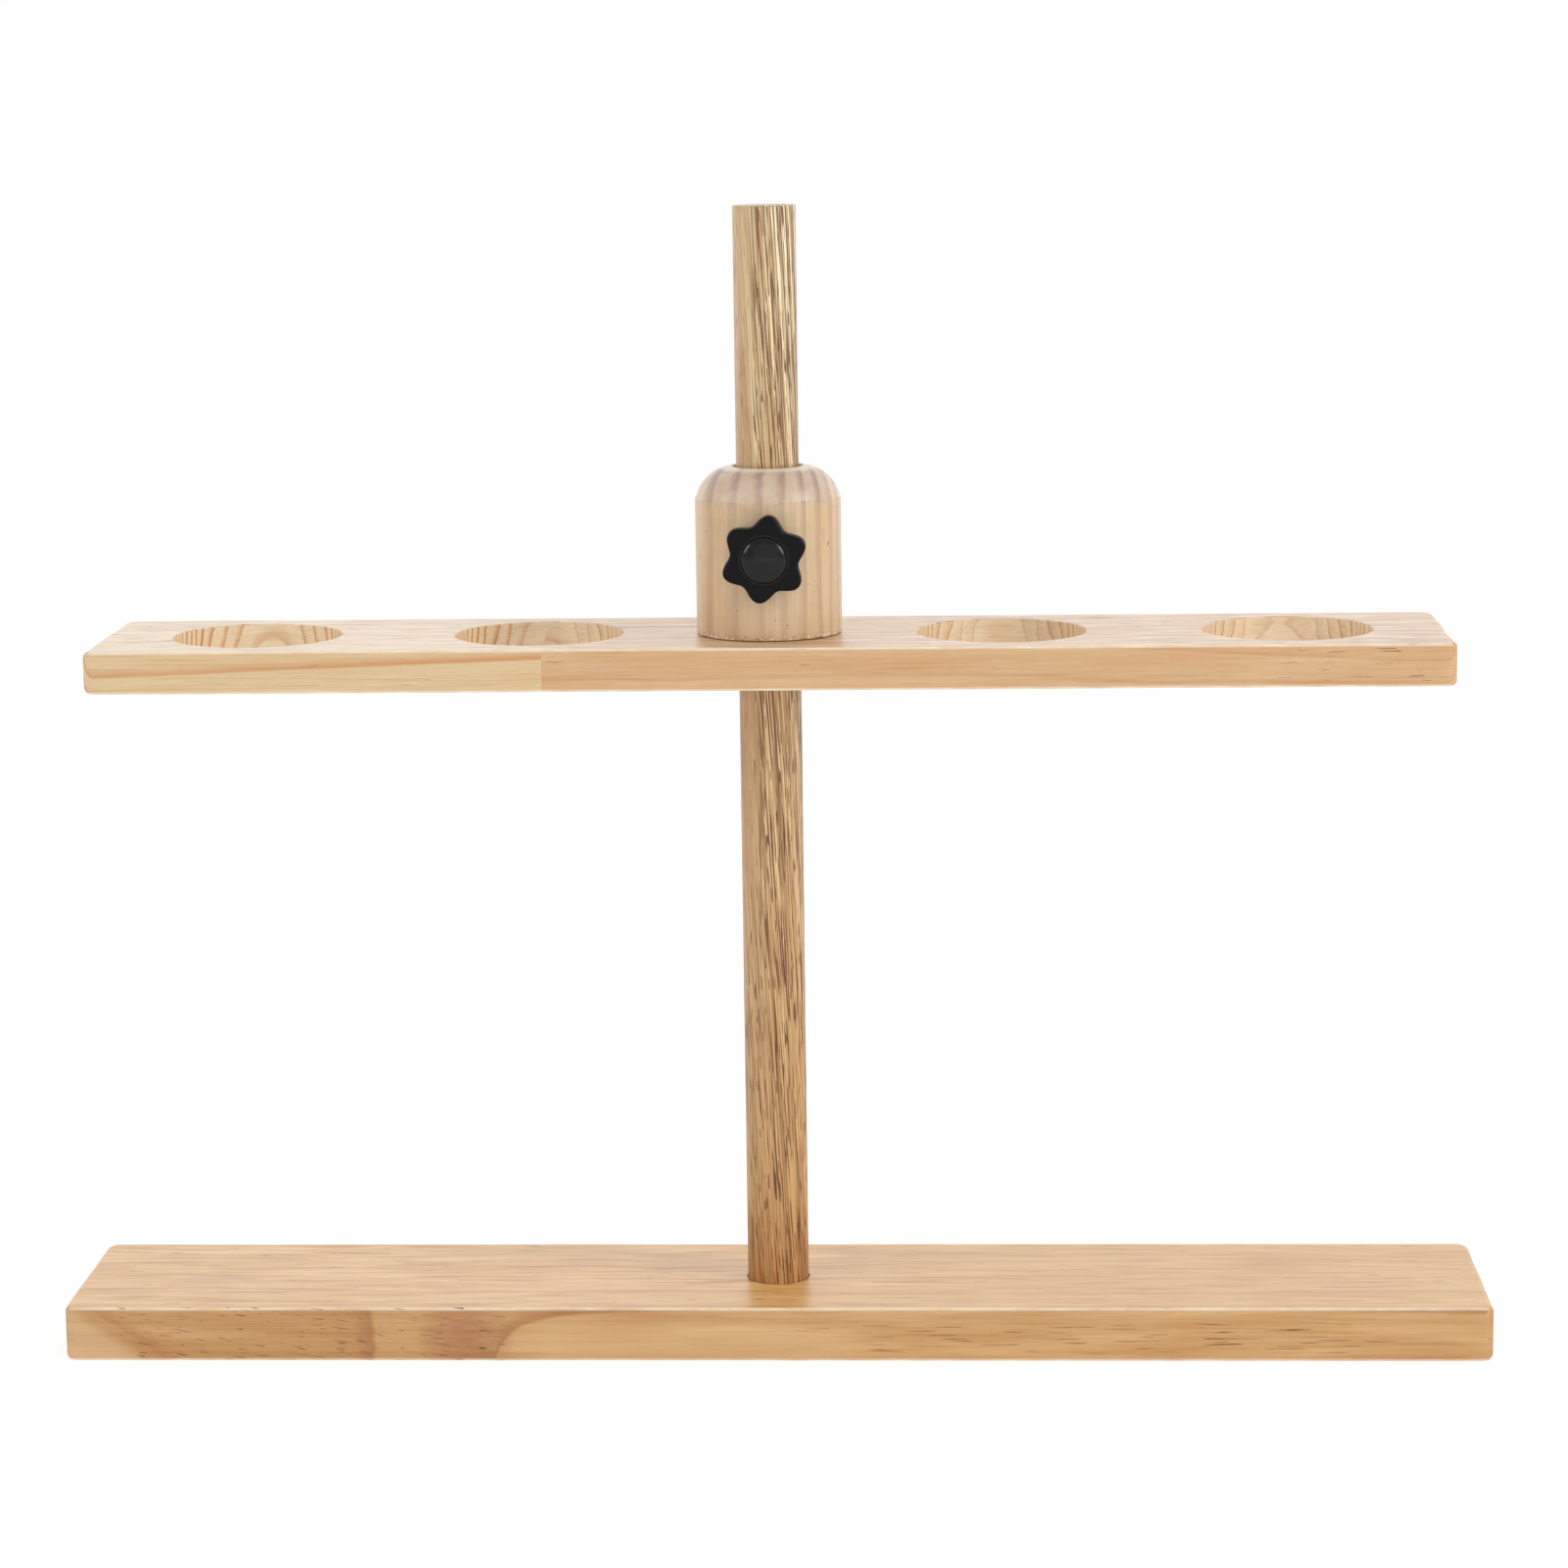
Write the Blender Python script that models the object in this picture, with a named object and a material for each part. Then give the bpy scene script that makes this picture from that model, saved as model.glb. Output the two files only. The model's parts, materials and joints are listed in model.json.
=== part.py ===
"""A wooden bench stand: a base board, a round post, and a shelf board with four tapered holes.

The shelf board is glued up from two lengths of pine. A turned collar on it slides and swivels on
the post, and a star knob with a threaded stud clamps it at any height.
Metres, +Z up. The origin is the centre of the base board's underside, on the post's axis.
The boards run along X, and the star knob points along -Y.
"""

from math import cos, pi, radians, sin

import bmesh
import bpy
from mathutils import Matrix, Vector

MM = 0.001

# Driving dimensions: boards
BOARD_WIDTH = 72 * MM
BASE_LENGTH = 460 * MM
BASE_THICKNESS = 17.5 * MM
SHELF_LENGTH = 430 * MM
SHELF_THICKNESS = 13.5 * MM
SHELF_TOP_HEIGHT = 231.5 * MM
BOARD_EDGE_RADIUS = 1.2 * MM

# The four tapered holes
HOLE_TOP_DIAMETER = 54.5 * MM
HOLE_BOTTOM_DIAMETER = 51 * MM
HOLE_PLACES = (-165 * MM, -74 * MM, 74 * MM, 165 * MM)

# The finger joint between the shelf's two lengths of pine
STAVE_JOINT_PLACE = -70 * MM
FINGER_LENGTH = 10 * MM
FINGER_COUNT = 9
FINGER_TIP_WIDTH = 1.2 * MM

# Post
POST_DIAMETER = 20 * MM
POST_TOP_HEIGHT = 367 * MM
POST_SOCKET_DEPTH = 12 * MM
POST_EDGE_CHAMFER = 0.5 * MM

# Collar: heights count from the shelf's top
COLLAR_DIAMETER = 46.5 * MM
COLLAR_HEIGHT = 53.5 * MM
COLLAR_BORE_DIAMETER = 20.9 * MM
COLLAR_SHOULDER_RADIUS = 12.6 * MM
COLLAR_SHOULDER_ANGLE = radians(77)
COLLAR_SHOULDER_STEPS = 12
COLLAR_CREASE_DROP = 0.3 * MM

# Clamp: depths count from the post's axis, outwards along -Y
CLAMP_HEIGHT = 27 * MM
STUD_DIAMETER = 5.8 * MM
STUD_LENGTH = 20 * MM
STUD_TIP_CHAMFER = 0.7 * MM
INSERT_DIAMETER = 9 * MM
INSERT_BORE_DIAMETER = 6.1 * MM
INSERT_LENGTH = 10 * MM
INSERT_RECESS = 0.6 * MM
KNOB_LOBES = 6
KNOB_TIP_RADIUS = 13.8 * MM
KNOB_VALLEY_RADIUS = 10.8 * MM
KNOB_TURNED_BY = radians(8)
KNOB_BACK_GAP = 0.9 * MM
KNOB_BOSS_RADIUS = 6.5 * MM
KNOB_BOSS_DEPTH = 1.8 * MM
KNOB_STAR_DEPTH = 6.6 * MM
KNOB_EDGE_CHAMFER = 0.8 * MM
KNOB_DOME_RADIUS = 7.4 * MM
KNOB_DOME_HEIGHT = 2.9 * MM
KNOB_DOME_STEPS = 5

# Wood screws
POST_SCREW_LENGTH = 32 * MM
POST_SCREW_RADIUS = 2.1 * MM
POST_SCREW_HEAD_RADIUS = 4 * MM
COLLAR_SCREW_LENGTH = 24 * MM
COLLAR_SCREW_RADIUS = 1.75 * MM
COLLAR_SCREW_HEAD_RADIUS = 3.5 * MM
COLLAR_SCREW_PLACE = 16.8 * MM
SCREW_POINT_LENGTH = 5 * MM
SCREW_HEAD_RIM = 0.4 * MM
SCREW_HEAD_RECESS = 0.4 * MM
DRIVE_SLOT_WIDTH = 1 * MM
DRIVE_SLOT_DEPTH = 1.4 * MM
DRIVE_SLOT_SPAN = 1.2

# Gaps and mesh quality
CONTACT_GAP = 0.3 * MM
STUD_GAP = 0.2 * MM
GLUE_GAP = 0.1 * MM
CUT_OVERRUN = 1 * MM
ROUND_SEGMENTS = 64
KNOB_SEGMENTS = 72
SCREW_SEGMENTS = 32
BEVEL_SEGMENTS = 2
MERGE_DISTANCE = 0.0001 * MM
SMOOTH_ANGLE = radians(32)

# Worked out from the driving dimensions
POST_RADIUS = POST_DIAMETER / 2
COLLAR_RADIUS = COLLAR_DIAMETER / 2
SOCKET_FLOOR = BASE_THICKNESS - POST_SOCKET_DEPTH
SHELF_ORIGIN = Vector((0, 0, SHELF_TOP_HEIGHT))
CLAMP_ORIGIN = SHELF_ORIGIN + Vector((0, 0, CLAMP_HEIGHT))
STUD_TIP_DEPTH = POST_RADIUS + CONTACT_GAP
STUD_HEAD_DEPTH = STUD_TIP_DEPTH + STUD_LENGTH
INSERT_FACE_DEPTH = COLLAR_RADIUS - INSERT_RECESS
INSERT_END_DEPTH = INSERT_FACE_DEPTH - INSERT_LENGTH
KNOB_BACK_DEPTH = COLLAR_RADIUS + KNOB_BACK_GAP


def clear_scene():
    for old in list(bpy.data.objects):
        bpy.data.objects.remove(old, do_unlink=True)


def make_material(name, colour, roughness, metallic=0.0):
    material = bpy.data.materials.new(name)
    material.use_nodes = True
    shader = material.node_tree.nodes["Principled BSDF"]
    shader.inputs["Base Color"].default_value = (*colour, 1.0)
    shader.inputs["Roughness"].default_value = roughness
    shader.inputs["Metallic"].default_value = metallic
    return material


def world_place(obj):
    """Where an object's origin is. Nothing here is rotated or scaled, so locations add up."""
    return obj.location + world_place(obj.parent) if obj else Vector()


def put(obj, place, parent):
    bpy.context.scene.collection.objects.link(obj)
    obj.parent = parent
    obj.location = Vector(place) - world_place(parent)
    return obj


def add_empty(name, place, parent=None):
    return put(bpy.data.objects.new(name, None), place, parent)


def add_piece(name, bm, material, place=(0, 0, 0), parent=None):
    """Makes an object of a bmesh built around the object's own origin."""
    mesh = bpy.data.meshes.new(name)
    bmesh.ops.recalc_face_normals(bm, faces=bm.faces)
    bm.to_mesh(mesh)
    bm.free()
    mesh.shade_smooth()
    mesh.set_sharp_from_angle(angle=SMOOTH_ANGLE)
    if material:
        mesh.materials.append(material)
    return put(bpy.data.objects.new(name, mesh), place, parent)


def shape_with(target, name, bm, place=(0, 0, 0), operation="DIFFERENCE"):
    """Cuts the target with a guide body, or keeps what lies inside it with INTERSECT."""
    guide = add_piece(f"{target.name}_{name}", bm, None, place)
    guide.hide_render = True
    guide.display_type = "WIRE"
    modifier = target.modifiers.new(name, "BOOLEAN")
    modifier.operation = operation
    modifier.object = guide
    modifier.solver = "EXACT"


def round_edges(obj, radius):
    bevel = obj.modifiers.new("eased_edges", "BEVEL")
    bevel.width = radius
    bevel.segments = BEVEL_SEGMENTS
    bevel.limit_method = "ANGLE"


def box_mesh(size, centre=(0, 0, 0)):
    bm = bmesh.new()
    bmesh.ops.create_cube(bm, size=1)
    bmesh.ops.scale(bm, vec=size, verts=bm.verts)
    bmesh.ops.translate(bm, vec=centre, verts=bm.verts)
    return bm


def turned_mesh(profile, segments):
    """Spins a closed outline of (radius, z) points about Z, and welds the points on the axis."""
    bm = bmesh.new()
    corners = [bm.verts.new((radius, 0, z)) for radius, z in profile]
    edges = []
    for here, following in zip(corners, corners[1:] + corners[:1]):
        if max(here.co.x, following.co.x) > 0:
            edges.append(bm.edges.new((here, following)))
    bmesh.ops.spin(bm, geom=corners + edges, cent=(0, 0, 0), axis=(0, 0, 1), angle=2 * pi,
                   steps=segments, use_merge=True)
    bmesh.ops.remove_doubles(bm, verts=bm.verts, dist=MERGE_DISTANCE)
    return bm


def rod_mesh(radius, low, high, segments=SCREW_SEGMENTS):
    return turned_mesh([(0, low), (radius, low), (radius, high), (0, high)], segments)


def point_outwards(bm):
    """Turns a piece made along +Z to point along -Y, as the clamp does."""
    bmesh.ops.rotate(bm, matrix=Matrix.Rotation(pi / 2, 3, "X"), verts=bm.verts)
    return bm


def screw_seat_mesh(head_radius, shank_radius, board_thickness):
    """The countersink and clearance hole under a board, with z = 0 at the board's underside."""
    head = head_radius + CONTACT_GAP
    shank = shank_radius + CONTACT_GAP
    rim_top = SCREW_HEAD_RECESS + SCREW_HEAD_RIM
    profile = [
        (0, -CUT_OVERRUN),
        (head, -CUT_OVERRUN),
        (head, rim_top),
        (shank, rim_top + head - shank),
        (shank, board_thickness + CUT_OVERRUN),
        (0, board_thickness + CUT_OVERRUN),
    ]
    return turned_mesh(profile, SCREW_SEGMENTS)


def make_wood_screw(name, length, shank_radius, head_radius, board_underside, material, parent):
    """A countersunk wood screw with a cross slot, pointing up, its head inside the underside."""
    profile = [
        (0, 0),
        (head_radius, 0),
        (head_radius, SCREW_HEAD_RIM),
        (shank_radius, SCREW_HEAD_RIM + head_radius - shank_radius),
        (shank_radius, length - SCREW_POINT_LENGTH),
        (0, length),
    ]
    head_face = Vector(board_underside) + Vector((0, 0, SCREW_HEAD_RECESS))
    screw = add_piece(name, turned_mesh(profile, SCREW_SEGMENTS), material, head_face, parent)
    span = head_radius * DRIVE_SLOT_SPAN
    height = 2 * DRIVE_SLOT_DEPTH
    shape_with(screw, "slot_x", box_mesh((span, DRIVE_SLOT_WIDTH, height)), head_face)
    shape_with(screw, "slot_y", box_mesh((DRIVE_SLOT_WIDTH, span, height)), head_face)


def make_base_board(wood):
    blank = box_mesh((BASE_LENGTH, BOARD_WIDTH, BASE_THICKNESS), (0, 0, BASE_THICKNESS / 2))
    board = add_piece("base_board", blank, wood)
    round_edges(board, BOARD_EDGE_RADIUS)
    socket = rod_mesh(POST_RADIUS + CONTACT_GAP, SOCKET_FLOOR, BASE_THICKNESS + CUT_OVERRUN,
                      ROUND_SEGMENTS)
    shape_with(board, "post_socket", socket)
    seat = screw_seat_mesh(POST_SCREW_HEAD_RADIUS, POST_SCREW_RADIUS, SOCKET_FLOOR)
    shape_with(board, "screw_seat", seat)


def make_post(wood, steel, swivel):
    bottom = SOCKET_FLOOR + CONTACT_GAP
    chamfered = POST_RADIUS - POST_EDGE_CHAMFER
    profile = [
        (0, bottom),
        (chamfered, bottom),
        (POST_RADIUS, bottom + POST_EDGE_CHAMFER),
        (POST_RADIUS, POST_TOP_HEIGHT - POST_EDGE_CHAMFER),
        (chamfered, POST_TOP_HEIGHT),
        (0, POST_TOP_HEIGHT),
    ]
    post = add_piece("post", turned_mesh(profile, ROUND_SEGMENTS), wood, parent=swivel)
    pilot_top = SCREW_HEAD_RECESS + POST_SCREW_LENGTH + CONTACT_GAP
    pilot = rod_mesh(POST_SCREW_RADIUS + CONTACT_GAP, bottom - CUT_OVERRUN, pilot_top)
    shape_with(post, "pilot_hole", pilot)
    make_wood_screw("post_screw", POST_SCREW_LENGTH, POST_SCREW_RADIUS, POST_SCREW_HEAD_RADIUS,
                    (0, 0, 0), steel, swivel)


def finger_outline(joint_x):
    """The zigzag of the finger joint across the board, with one finger more at each end."""
    pitch = BOARD_WIDTH / FINGER_COUNT
    root_x = joint_x - FINGER_LENGTH / 2
    tip_x = joint_x + FINGER_LENGTH / 2
    outline = []
    for finger in range(-1, FINGER_COUNT + 1):
        start = finger * pitch - BOARD_WIDTH / 2
        outline.append((root_x, start))
        outline.append((root_x, start + FINGER_TIP_WIDTH))
        outline.append((tip_x, start + pitch / 2))
        outline.append((tip_x, start + pitch / 2 + FINGER_TIP_WIDTH))
    return outline


def stave_side_mesh(side):
    """A slab that holds everything on one side of the finger joint: -1 is left, +1 is right."""
    zigzag = finger_outline(STAVE_JOINT_PLACE + side * GLUE_GAP / 2)
    outer_x = side * (SHELF_LENGTH / 2 + CUT_OVERRUN)
    outline = [(outer_x, zigzag[0][1])] + zigzag + [(outer_x, zigzag[-1][1])]
    bm = bmesh.new()
    low = -SHELF_THICKNESS - CUT_OVERRUN
    floor = bm.faces.new([bm.verts.new((x, y, low)) for x, y in outline])
    raised = bmesh.ops.extrude_face_region(bm, geom=[floor])["geom"]
    raised_verts = [v for v in raised if isinstance(v, bmesh.types.BMVert)]
    bmesh.ops.translate(bm, vec=(0, 0, SHELF_THICKNESS + 2 * CUT_OVERRUN), verts=raised_verts)
    return bm


def tapered_hole_mesh():
    taper = (HOLE_TOP_DIAMETER - HOLE_BOTTOM_DIAMETER) / 2 / SHELF_THICKNESS
    low = -SHELF_THICKNESS - CUT_OVERRUN
    low_radius = HOLE_BOTTOM_DIAMETER / 2 - taper * CUT_OVERRUN
    high_radius = HOLE_TOP_DIAMETER / 2 + taper * CUT_OVERRUN
    profile = [(0, low), (low_radius, low), (high_radius, CUT_OVERRUN), (0, CUT_OVERRUN)]
    return turned_mesh(profile, ROUND_SEGMENTS)


def make_stave(name, side, wood, carriage):
    """One of the two lengths of pine: the whole board's blank, cut at the finger joint."""
    blank = box_mesh((SHELF_LENGTH, BOARD_WIDTH, SHELF_THICKNESS), (0, 0, -SHELF_THICKNESS / 2))
    stave = add_piece(name, blank, wood, SHELF_ORIGIN, carriage)
    round_edges(stave, BOARD_EDGE_RADIUS)
    shape_with(stave, "side", stave_side_mesh(side), SHELF_ORIGIN, "INTERSECT")
    reach = (HOLE_TOP_DIAMETER + FINGER_LENGTH) / 2
    for number, hole_x in enumerate(HOLE_PLACES, 1):
        if side * (hole_x - STAVE_JOINT_PLACE) > -reach:
            place = SHELF_ORIGIN + Vector((hole_x, 0, 0))
            shape_with(stave, f"hole_{number}", tapered_hole_mesh(), place)
    return stave


def make_shelf_board(wood, carriage):
    make_stave("shelf_board_left", -1, wood, carriage)
    stave = make_stave("shelf_board_right", 1, wood, carriage)
    post_hole = rod_mesh(COLLAR_BORE_DIAMETER / 2, -SHELF_THICKNESS - CUT_OVERRUN, CUT_OVERRUN,
                         ROUND_SEGMENTS)
    shape_with(stave, "post_hole", post_hole, SHELF_ORIGIN)
    for name, x in (("left", -COLLAR_SCREW_PLACE), ("right", COLLAR_SCREW_PLACE)):
        seat = screw_seat_mesh(COLLAR_SCREW_HEAD_RADIUS, COLLAR_SCREW_RADIUS, SHELF_THICKNESS)
        place = SHELF_ORIGIN + Vector((x, 0, -SHELF_THICKNESS))
        shape_with(stave, f"screw_seat_{name}", seat, place)


def collar_profile():
    """The bore, then the quarter-round shoulder and its crease, then the straight side."""
    bore = COLLAR_BORE_DIAMETER / 2
    centre_radius = COLLAR_RADIUS - COLLAR_SHOULDER_RADIUS
    centre_height = COLLAR_HEIGHT - COLLAR_SHOULDER_RADIUS
    points = [(bore, CONTACT_GAP), (bore, COLLAR_HEIGHT)]
    for step in range(COLLAR_SHOULDER_STEPS + 1):
        angle = COLLAR_SHOULDER_ANGLE * step / COLLAR_SHOULDER_STEPS
        points.append((centre_radius + COLLAR_SHOULDER_RADIUS * sin(angle),
                       centre_height + COLLAR_SHOULDER_RADIUS * cos(angle)))
    points.append((COLLAR_RADIUS, points[-1][1] - COLLAR_CREASE_DROP))
    points.append((COLLAR_RADIUS, CONTACT_GAP))
    return points


def clamp_bore_mesh():
    """The cross bore: a passage for the stud, opening out into the insert's pocket."""
    passage = STUD_DIAMETER / 2 + CONTACT_GAP
    pocket = INSERT_DIAMETER / 2 + CONTACT_GAP
    inner_depth = COLLAR_BORE_DIAMETER / 2 - CUT_OVERRUN
    pocket_floor = INSERT_END_DEPTH - CONTACT_GAP
    outer_depth = COLLAR_RADIUS + CUT_OVERRUN
    profile = [
        (0, inner_depth),
        (passage, inner_depth),
        (passage, pocket_floor),
        (pocket, pocket_floor),
        (pocket, outer_depth),
        (0, outer_depth),
    ]
    return point_outwards(turned_mesh(profile, SCREW_SEGMENTS))


def make_collar(wood, steel, carriage):
    blank = turned_mesh(collar_profile(), ROUND_SEGMENTS)
    collar = add_piece("clamp_collar", blank, wood, SHELF_ORIGIN, carriage)
    shape_with(collar, "clamp_bore", clamp_bore_mesh(), CLAMP_ORIGIN)
    pilot_top = SCREW_HEAD_RECESS + COLLAR_SCREW_LENGTH - SHELF_THICKNESS + CONTACT_GAP
    for name, x in (("left", -COLLAR_SCREW_PLACE), ("right", COLLAR_SCREW_PLACE)):
        offset = Vector((x, 0, 0))
        pilot = rod_mesh(COLLAR_SCREW_RADIUS + CONTACT_GAP, -CUT_OVERRUN, pilot_top)
        shape_with(collar, f"pilot_{name}", pilot, SHELF_ORIGIN + offset)
        underside = SHELF_ORIGIN + offset - Vector((0, 0, SHELF_THICKNESS))
        make_wood_screw(f"collar_screw_{name}", COLLAR_SCREW_LENGTH, COLLAR_SCREW_RADIUS,
                        COLLAR_SCREW_HEAD_RADIUS, underside, steel, carriage)


def make_insert(brass, clamp_axis):
    """The metal sleeve in the collar that the stud screws through."""
    inner = INSERT_BORE_DIAMETER / 2
    outer = INSERT_DIAMETER / 2
    profile = [
        (inner, INSERT_END_DEPTH),
        (outer, INSERT_END_DEPTH),
        (outer, INSERT_FACE_DEPTH),
        (inner, INSERT_FACE_DEPTH),
    ]
    sleeve = point_outwards(turned_mesh(profile, SCREW_SEGMENTS))
    add_piece("threaded_insert", sleeve, brass, CLAMP_ORIGIN, clamp_axis)


def make_stud(steel, clamp_axis):
    radius = STUD_DIAMETER / 2
    profile = [
        (0, STUD_TIP_DEPTH),
        (radius - STUD_TIP_CHAMFER, STUD_TIP_DEPTH),
        (radius, STUD_TIP_DEPTH + STUD_TIP_CHAMFER),
        (radius, STUD_HEAD_DEPTH),
        (0, STUD_HEAD_DEPTH),
    ]
    rod = point_outwards(turned_mesh(profile, SCREW_SEGMENTS))
    add_piece("clamp_stud", rod, steel, CLAMP_ORIGIN, clamp_axis)


def star_radius(angle):
    """The knob's outline: six round lobes with round valleys between them."""
    middle = (KNOB_TIP_RADIUS + KNOB_VALLEY_RADIUS) / 2
    swing = (KNOB_TIP_RADIUS - KNOB_VALLEY_RADIUS) / 2
    first_tip = pi / 2 - KNOB_TURNED_BY
    return middle + swing * cos(KNOB_LOBES * (angle - first_tip))


def knob_sections():
    """(radius rule, depth) of each ring, from the bottom of the blind bore round to the dome."""
    bore = STUD_DIAMETER / 2 + STUD_GAP
    star_back = KNOB_BACK_DEPTH + KNOB_BOSS_DEPTH
    star_front = star_back + KNOB_STAR_DEPTH

    def round_ring(radius):
        return lambda angle: radius

    def inset_star(angle):
        return star_radius(angle) - KNOB_EDGE_CHAMFER

    sections = [
        (round_ring(bore), STUD_HEAD_DEPTH + CONTACT_GAP),
        (round_ring(bore), KNOB_BACK_DEPTH),
        (round_ring(KNOB_BOSS_RADIUS), KNOB_BACK_DEPTH),
        (round_ring(KNOB_BOSS_RADIUS), star_back),
        (inset_star, star_back),
        (star_radius, star_back + KNOB_EDGE_CHAMFER),
        (star_radius, star_front - KNOB_EDGE_CHAMFER),
        (inset_star, star_front),
    ]
    for step in range(KNOB_DOME_STEPS):
        angle = pi / 2 * step / KNOB_DOME_STEPS
        sections.append((round_ring(KNOB_DOME_RADIUS * cos(angle)),
                         star_front + KNOB_DOME_HEIGHT * sin(angle)))
    return sections


def make_knob(plastic, clamp_axis):
    sections = knob_sections()
    angles = [2 * pi * step / KNOB_SEGMENTS for step in range(KNOB_SEGMENTS)]
    bm = bmesh.new()
    rings = []
    for radius_at, depth in sections:
        rings.append([bm.verts.new((radius_at(a) * cos(a), radius_at(a) * sin(a), depth))
                      for a in angles])
    for lower, upper in zip(rings, rings[1:]):
        for i in range(KNOB_SEGMENTS):
            following = (i + 1) % KNOB_SEGMENTS
            bm.faces.new((lower[i], lower[following], upper[following], upper[i]))
    bm.faces.new(rings[0])
    star_front = KNOB_BACK_DEPTH + KNOB_BOSS_DEPTH + KNOB_STAR_DEPTH
    apex = bm.verts.new((0, 0, star_front + KNOB_DOME_HEIGHT))
    for i in range(KNOB_SEGMENTS):
        bm.faces.new((rings[-1][i], rings[-1][(i + 1) % KNOB_SEGMENTS], apex))
    add_piece("star_knob", point_outwards(bm), plastic, CLAMP_ORIGIN, clamp_axis)


def main():
    clear_scene()
    base_pine = make_material("base_pine", (0.62, 0.40, 0.20), 0.55)
    shelf_pine = make_material("shelf_pine", (0.68, 0.48, 0.29), 0.55)
    collar_pine = make_material("collar_pine", (0.72, 0.52, 0.33), 0.55)
    post_hardwood = make_material("post_hardwood", (0.50, 0.32, 0.17), 0.6)
    plastic = make_material("black_plastic", (0.012, 0.012, 0.013), 0.22)
    steel = make_material("zinc_steel", (0.60, 0.60, 0.58), 0.3, 1.0)
    brass = make_material("insert_brass", (0.75, 0.58, 0.28), 0.35, 1.0)

    swivel = add_empty("post_swivel", (0, 0, 0))
    carriage = add_empty("shelf_carriage", SHELF_ORIGIN, swivel)
    clamp_axis = add_empty("clamp_axis", CLAMP_ORIGIN, carriage)

    make_base_board(base_pine)
    make_post(post_hardwood, steel, swivel)
    make_shelf_board(shelf_pine, carriage)
    make_collar(collar_pine, steel, carriage)
    make_insert(brass, clamp_axis)
    make_stud(steel, clamp_axis)
    make_knob(plastic, clamp_axis)


main()
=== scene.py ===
"""The looks of the wooden bench stand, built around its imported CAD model.

Every visible piece is a finer mesh that stands for a CAD node: eased and slightly uneven board
edges, cut threads, a moulded star knob. All materials are procedural, in the piece's own space.
Meshes are built in metres. The rules of the materials are in millimetres.
"""

import json
from math import cos, floor, pi, radians, sin

import bmesh
import bpy
from mathutils import Matrix, Vector, noise
from mathutils.geometry import delaunay_2d_cdt


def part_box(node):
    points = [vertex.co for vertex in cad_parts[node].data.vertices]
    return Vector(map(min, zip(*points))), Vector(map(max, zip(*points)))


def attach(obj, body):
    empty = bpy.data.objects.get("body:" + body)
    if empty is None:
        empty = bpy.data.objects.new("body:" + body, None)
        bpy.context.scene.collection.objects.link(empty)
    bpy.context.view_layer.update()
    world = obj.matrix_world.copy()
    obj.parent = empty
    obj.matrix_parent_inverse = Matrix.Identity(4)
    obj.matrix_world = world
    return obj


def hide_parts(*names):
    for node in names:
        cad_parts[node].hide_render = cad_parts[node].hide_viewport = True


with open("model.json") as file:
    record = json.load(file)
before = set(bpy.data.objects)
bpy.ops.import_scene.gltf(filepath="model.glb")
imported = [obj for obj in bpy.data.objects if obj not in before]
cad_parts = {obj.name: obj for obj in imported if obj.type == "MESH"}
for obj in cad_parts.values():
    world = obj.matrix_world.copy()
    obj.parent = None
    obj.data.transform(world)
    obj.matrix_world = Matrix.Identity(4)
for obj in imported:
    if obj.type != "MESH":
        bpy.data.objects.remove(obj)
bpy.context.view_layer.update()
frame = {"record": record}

MM = 0.001
SMOOTH_ANGLE = radians(38)

# Places read from the frame
BASE_LOW, BASE_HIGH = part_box("base_board")
POST_LOW, POST_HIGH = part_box("post")
LEFT_LOW, LEFT_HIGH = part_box("shelf_board_left")
RIGHT_LOW, RIGHT_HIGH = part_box("shelf_board_right")
COLLAR_LOW, COLLAR_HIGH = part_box("clamp_collar")
KNOB_LOW, KNOB_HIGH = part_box("star_knob")
STUD_LOW, STUD_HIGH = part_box("clamp_stud")
INSERT_LOW, INSERT_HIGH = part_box("threaded_insert")
HOLE_CENTRES = [
    (Vector(opening["box_m"][0]) + Vector(opening["box_m"][1])).xy / 2
    for opening in frame["record"]["physics"]["openings"]
]
COLLAR_SCREWS = ("collar_screw_left", "collar_screw_right")
CLAMP_Z = (STUD_LOW.z + STUD_HIGH.z) / 2
POST_RADIUS = (POST_HIGH.x - POST_LOW.x) / 2
COLLAR_RADIUS = (COLLAR_HIGH.x - COLLAR_LOW.x) / 2

# Boards
EDGE_EASE = 0.45 * MM
END_EASE = 1.9 * MM
EASE_UNEVENNESS = 0.45
EASE_WAVE = 22 * MM
EASE_STEPS = 5
CORNER_RADIUS = 3.5 * MM
CORNER_STEPS = 6
SUPPORT = 0.5 * MM
OUTLINE_SPACING = 2.5 * MM
FILL_SPACING = 6 * MM
SIDE_ROWS = 4
HOLE_TOP_RADIUS = 27.25 * MM
HOLE_BOTTOM_RADIUS = 25.5 * MM
HOLE_EASE = 0.35 * MM
HOLE_SEGMENTS = 144

# The shelf's finger joint
JOINT_X = (LEFT_HIGH.x + RIGHT_LOW.x) / 2
FINGER_REACH = (LEFT_HIGH.x - RIGHT_LOW.x) / 2
FINGER_COUNT = 9
FINGER_TIP = 1.2 * MM
JOINT_GAP = 0.02 * MM

# Round holes and the screws in them
BORE_RADIUS = 10.45 * MM
BORE_EASE = 0.35 * MM
BORE_SEGMENTS = 96
SMALL_SEGMENTS = 48
SOCKET_RADIUS = POST_RADIUS + 0.3 * MM
SEAT_RIM = 0.8 * MM
SEAT_DEPTH = 5.5 * MM
POST_SCREW_HEAD = 4.3 * MM
PILOT_RADIUS = 2.4 * MM
COLLAR_SCREW_HEAD = 3.8 * MM
COLLAR_SCREW_SHANK = 2.05 * MM
SCREW_PITCH = 1.8 * MM
SCREW_POINT = 5 * MM

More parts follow.
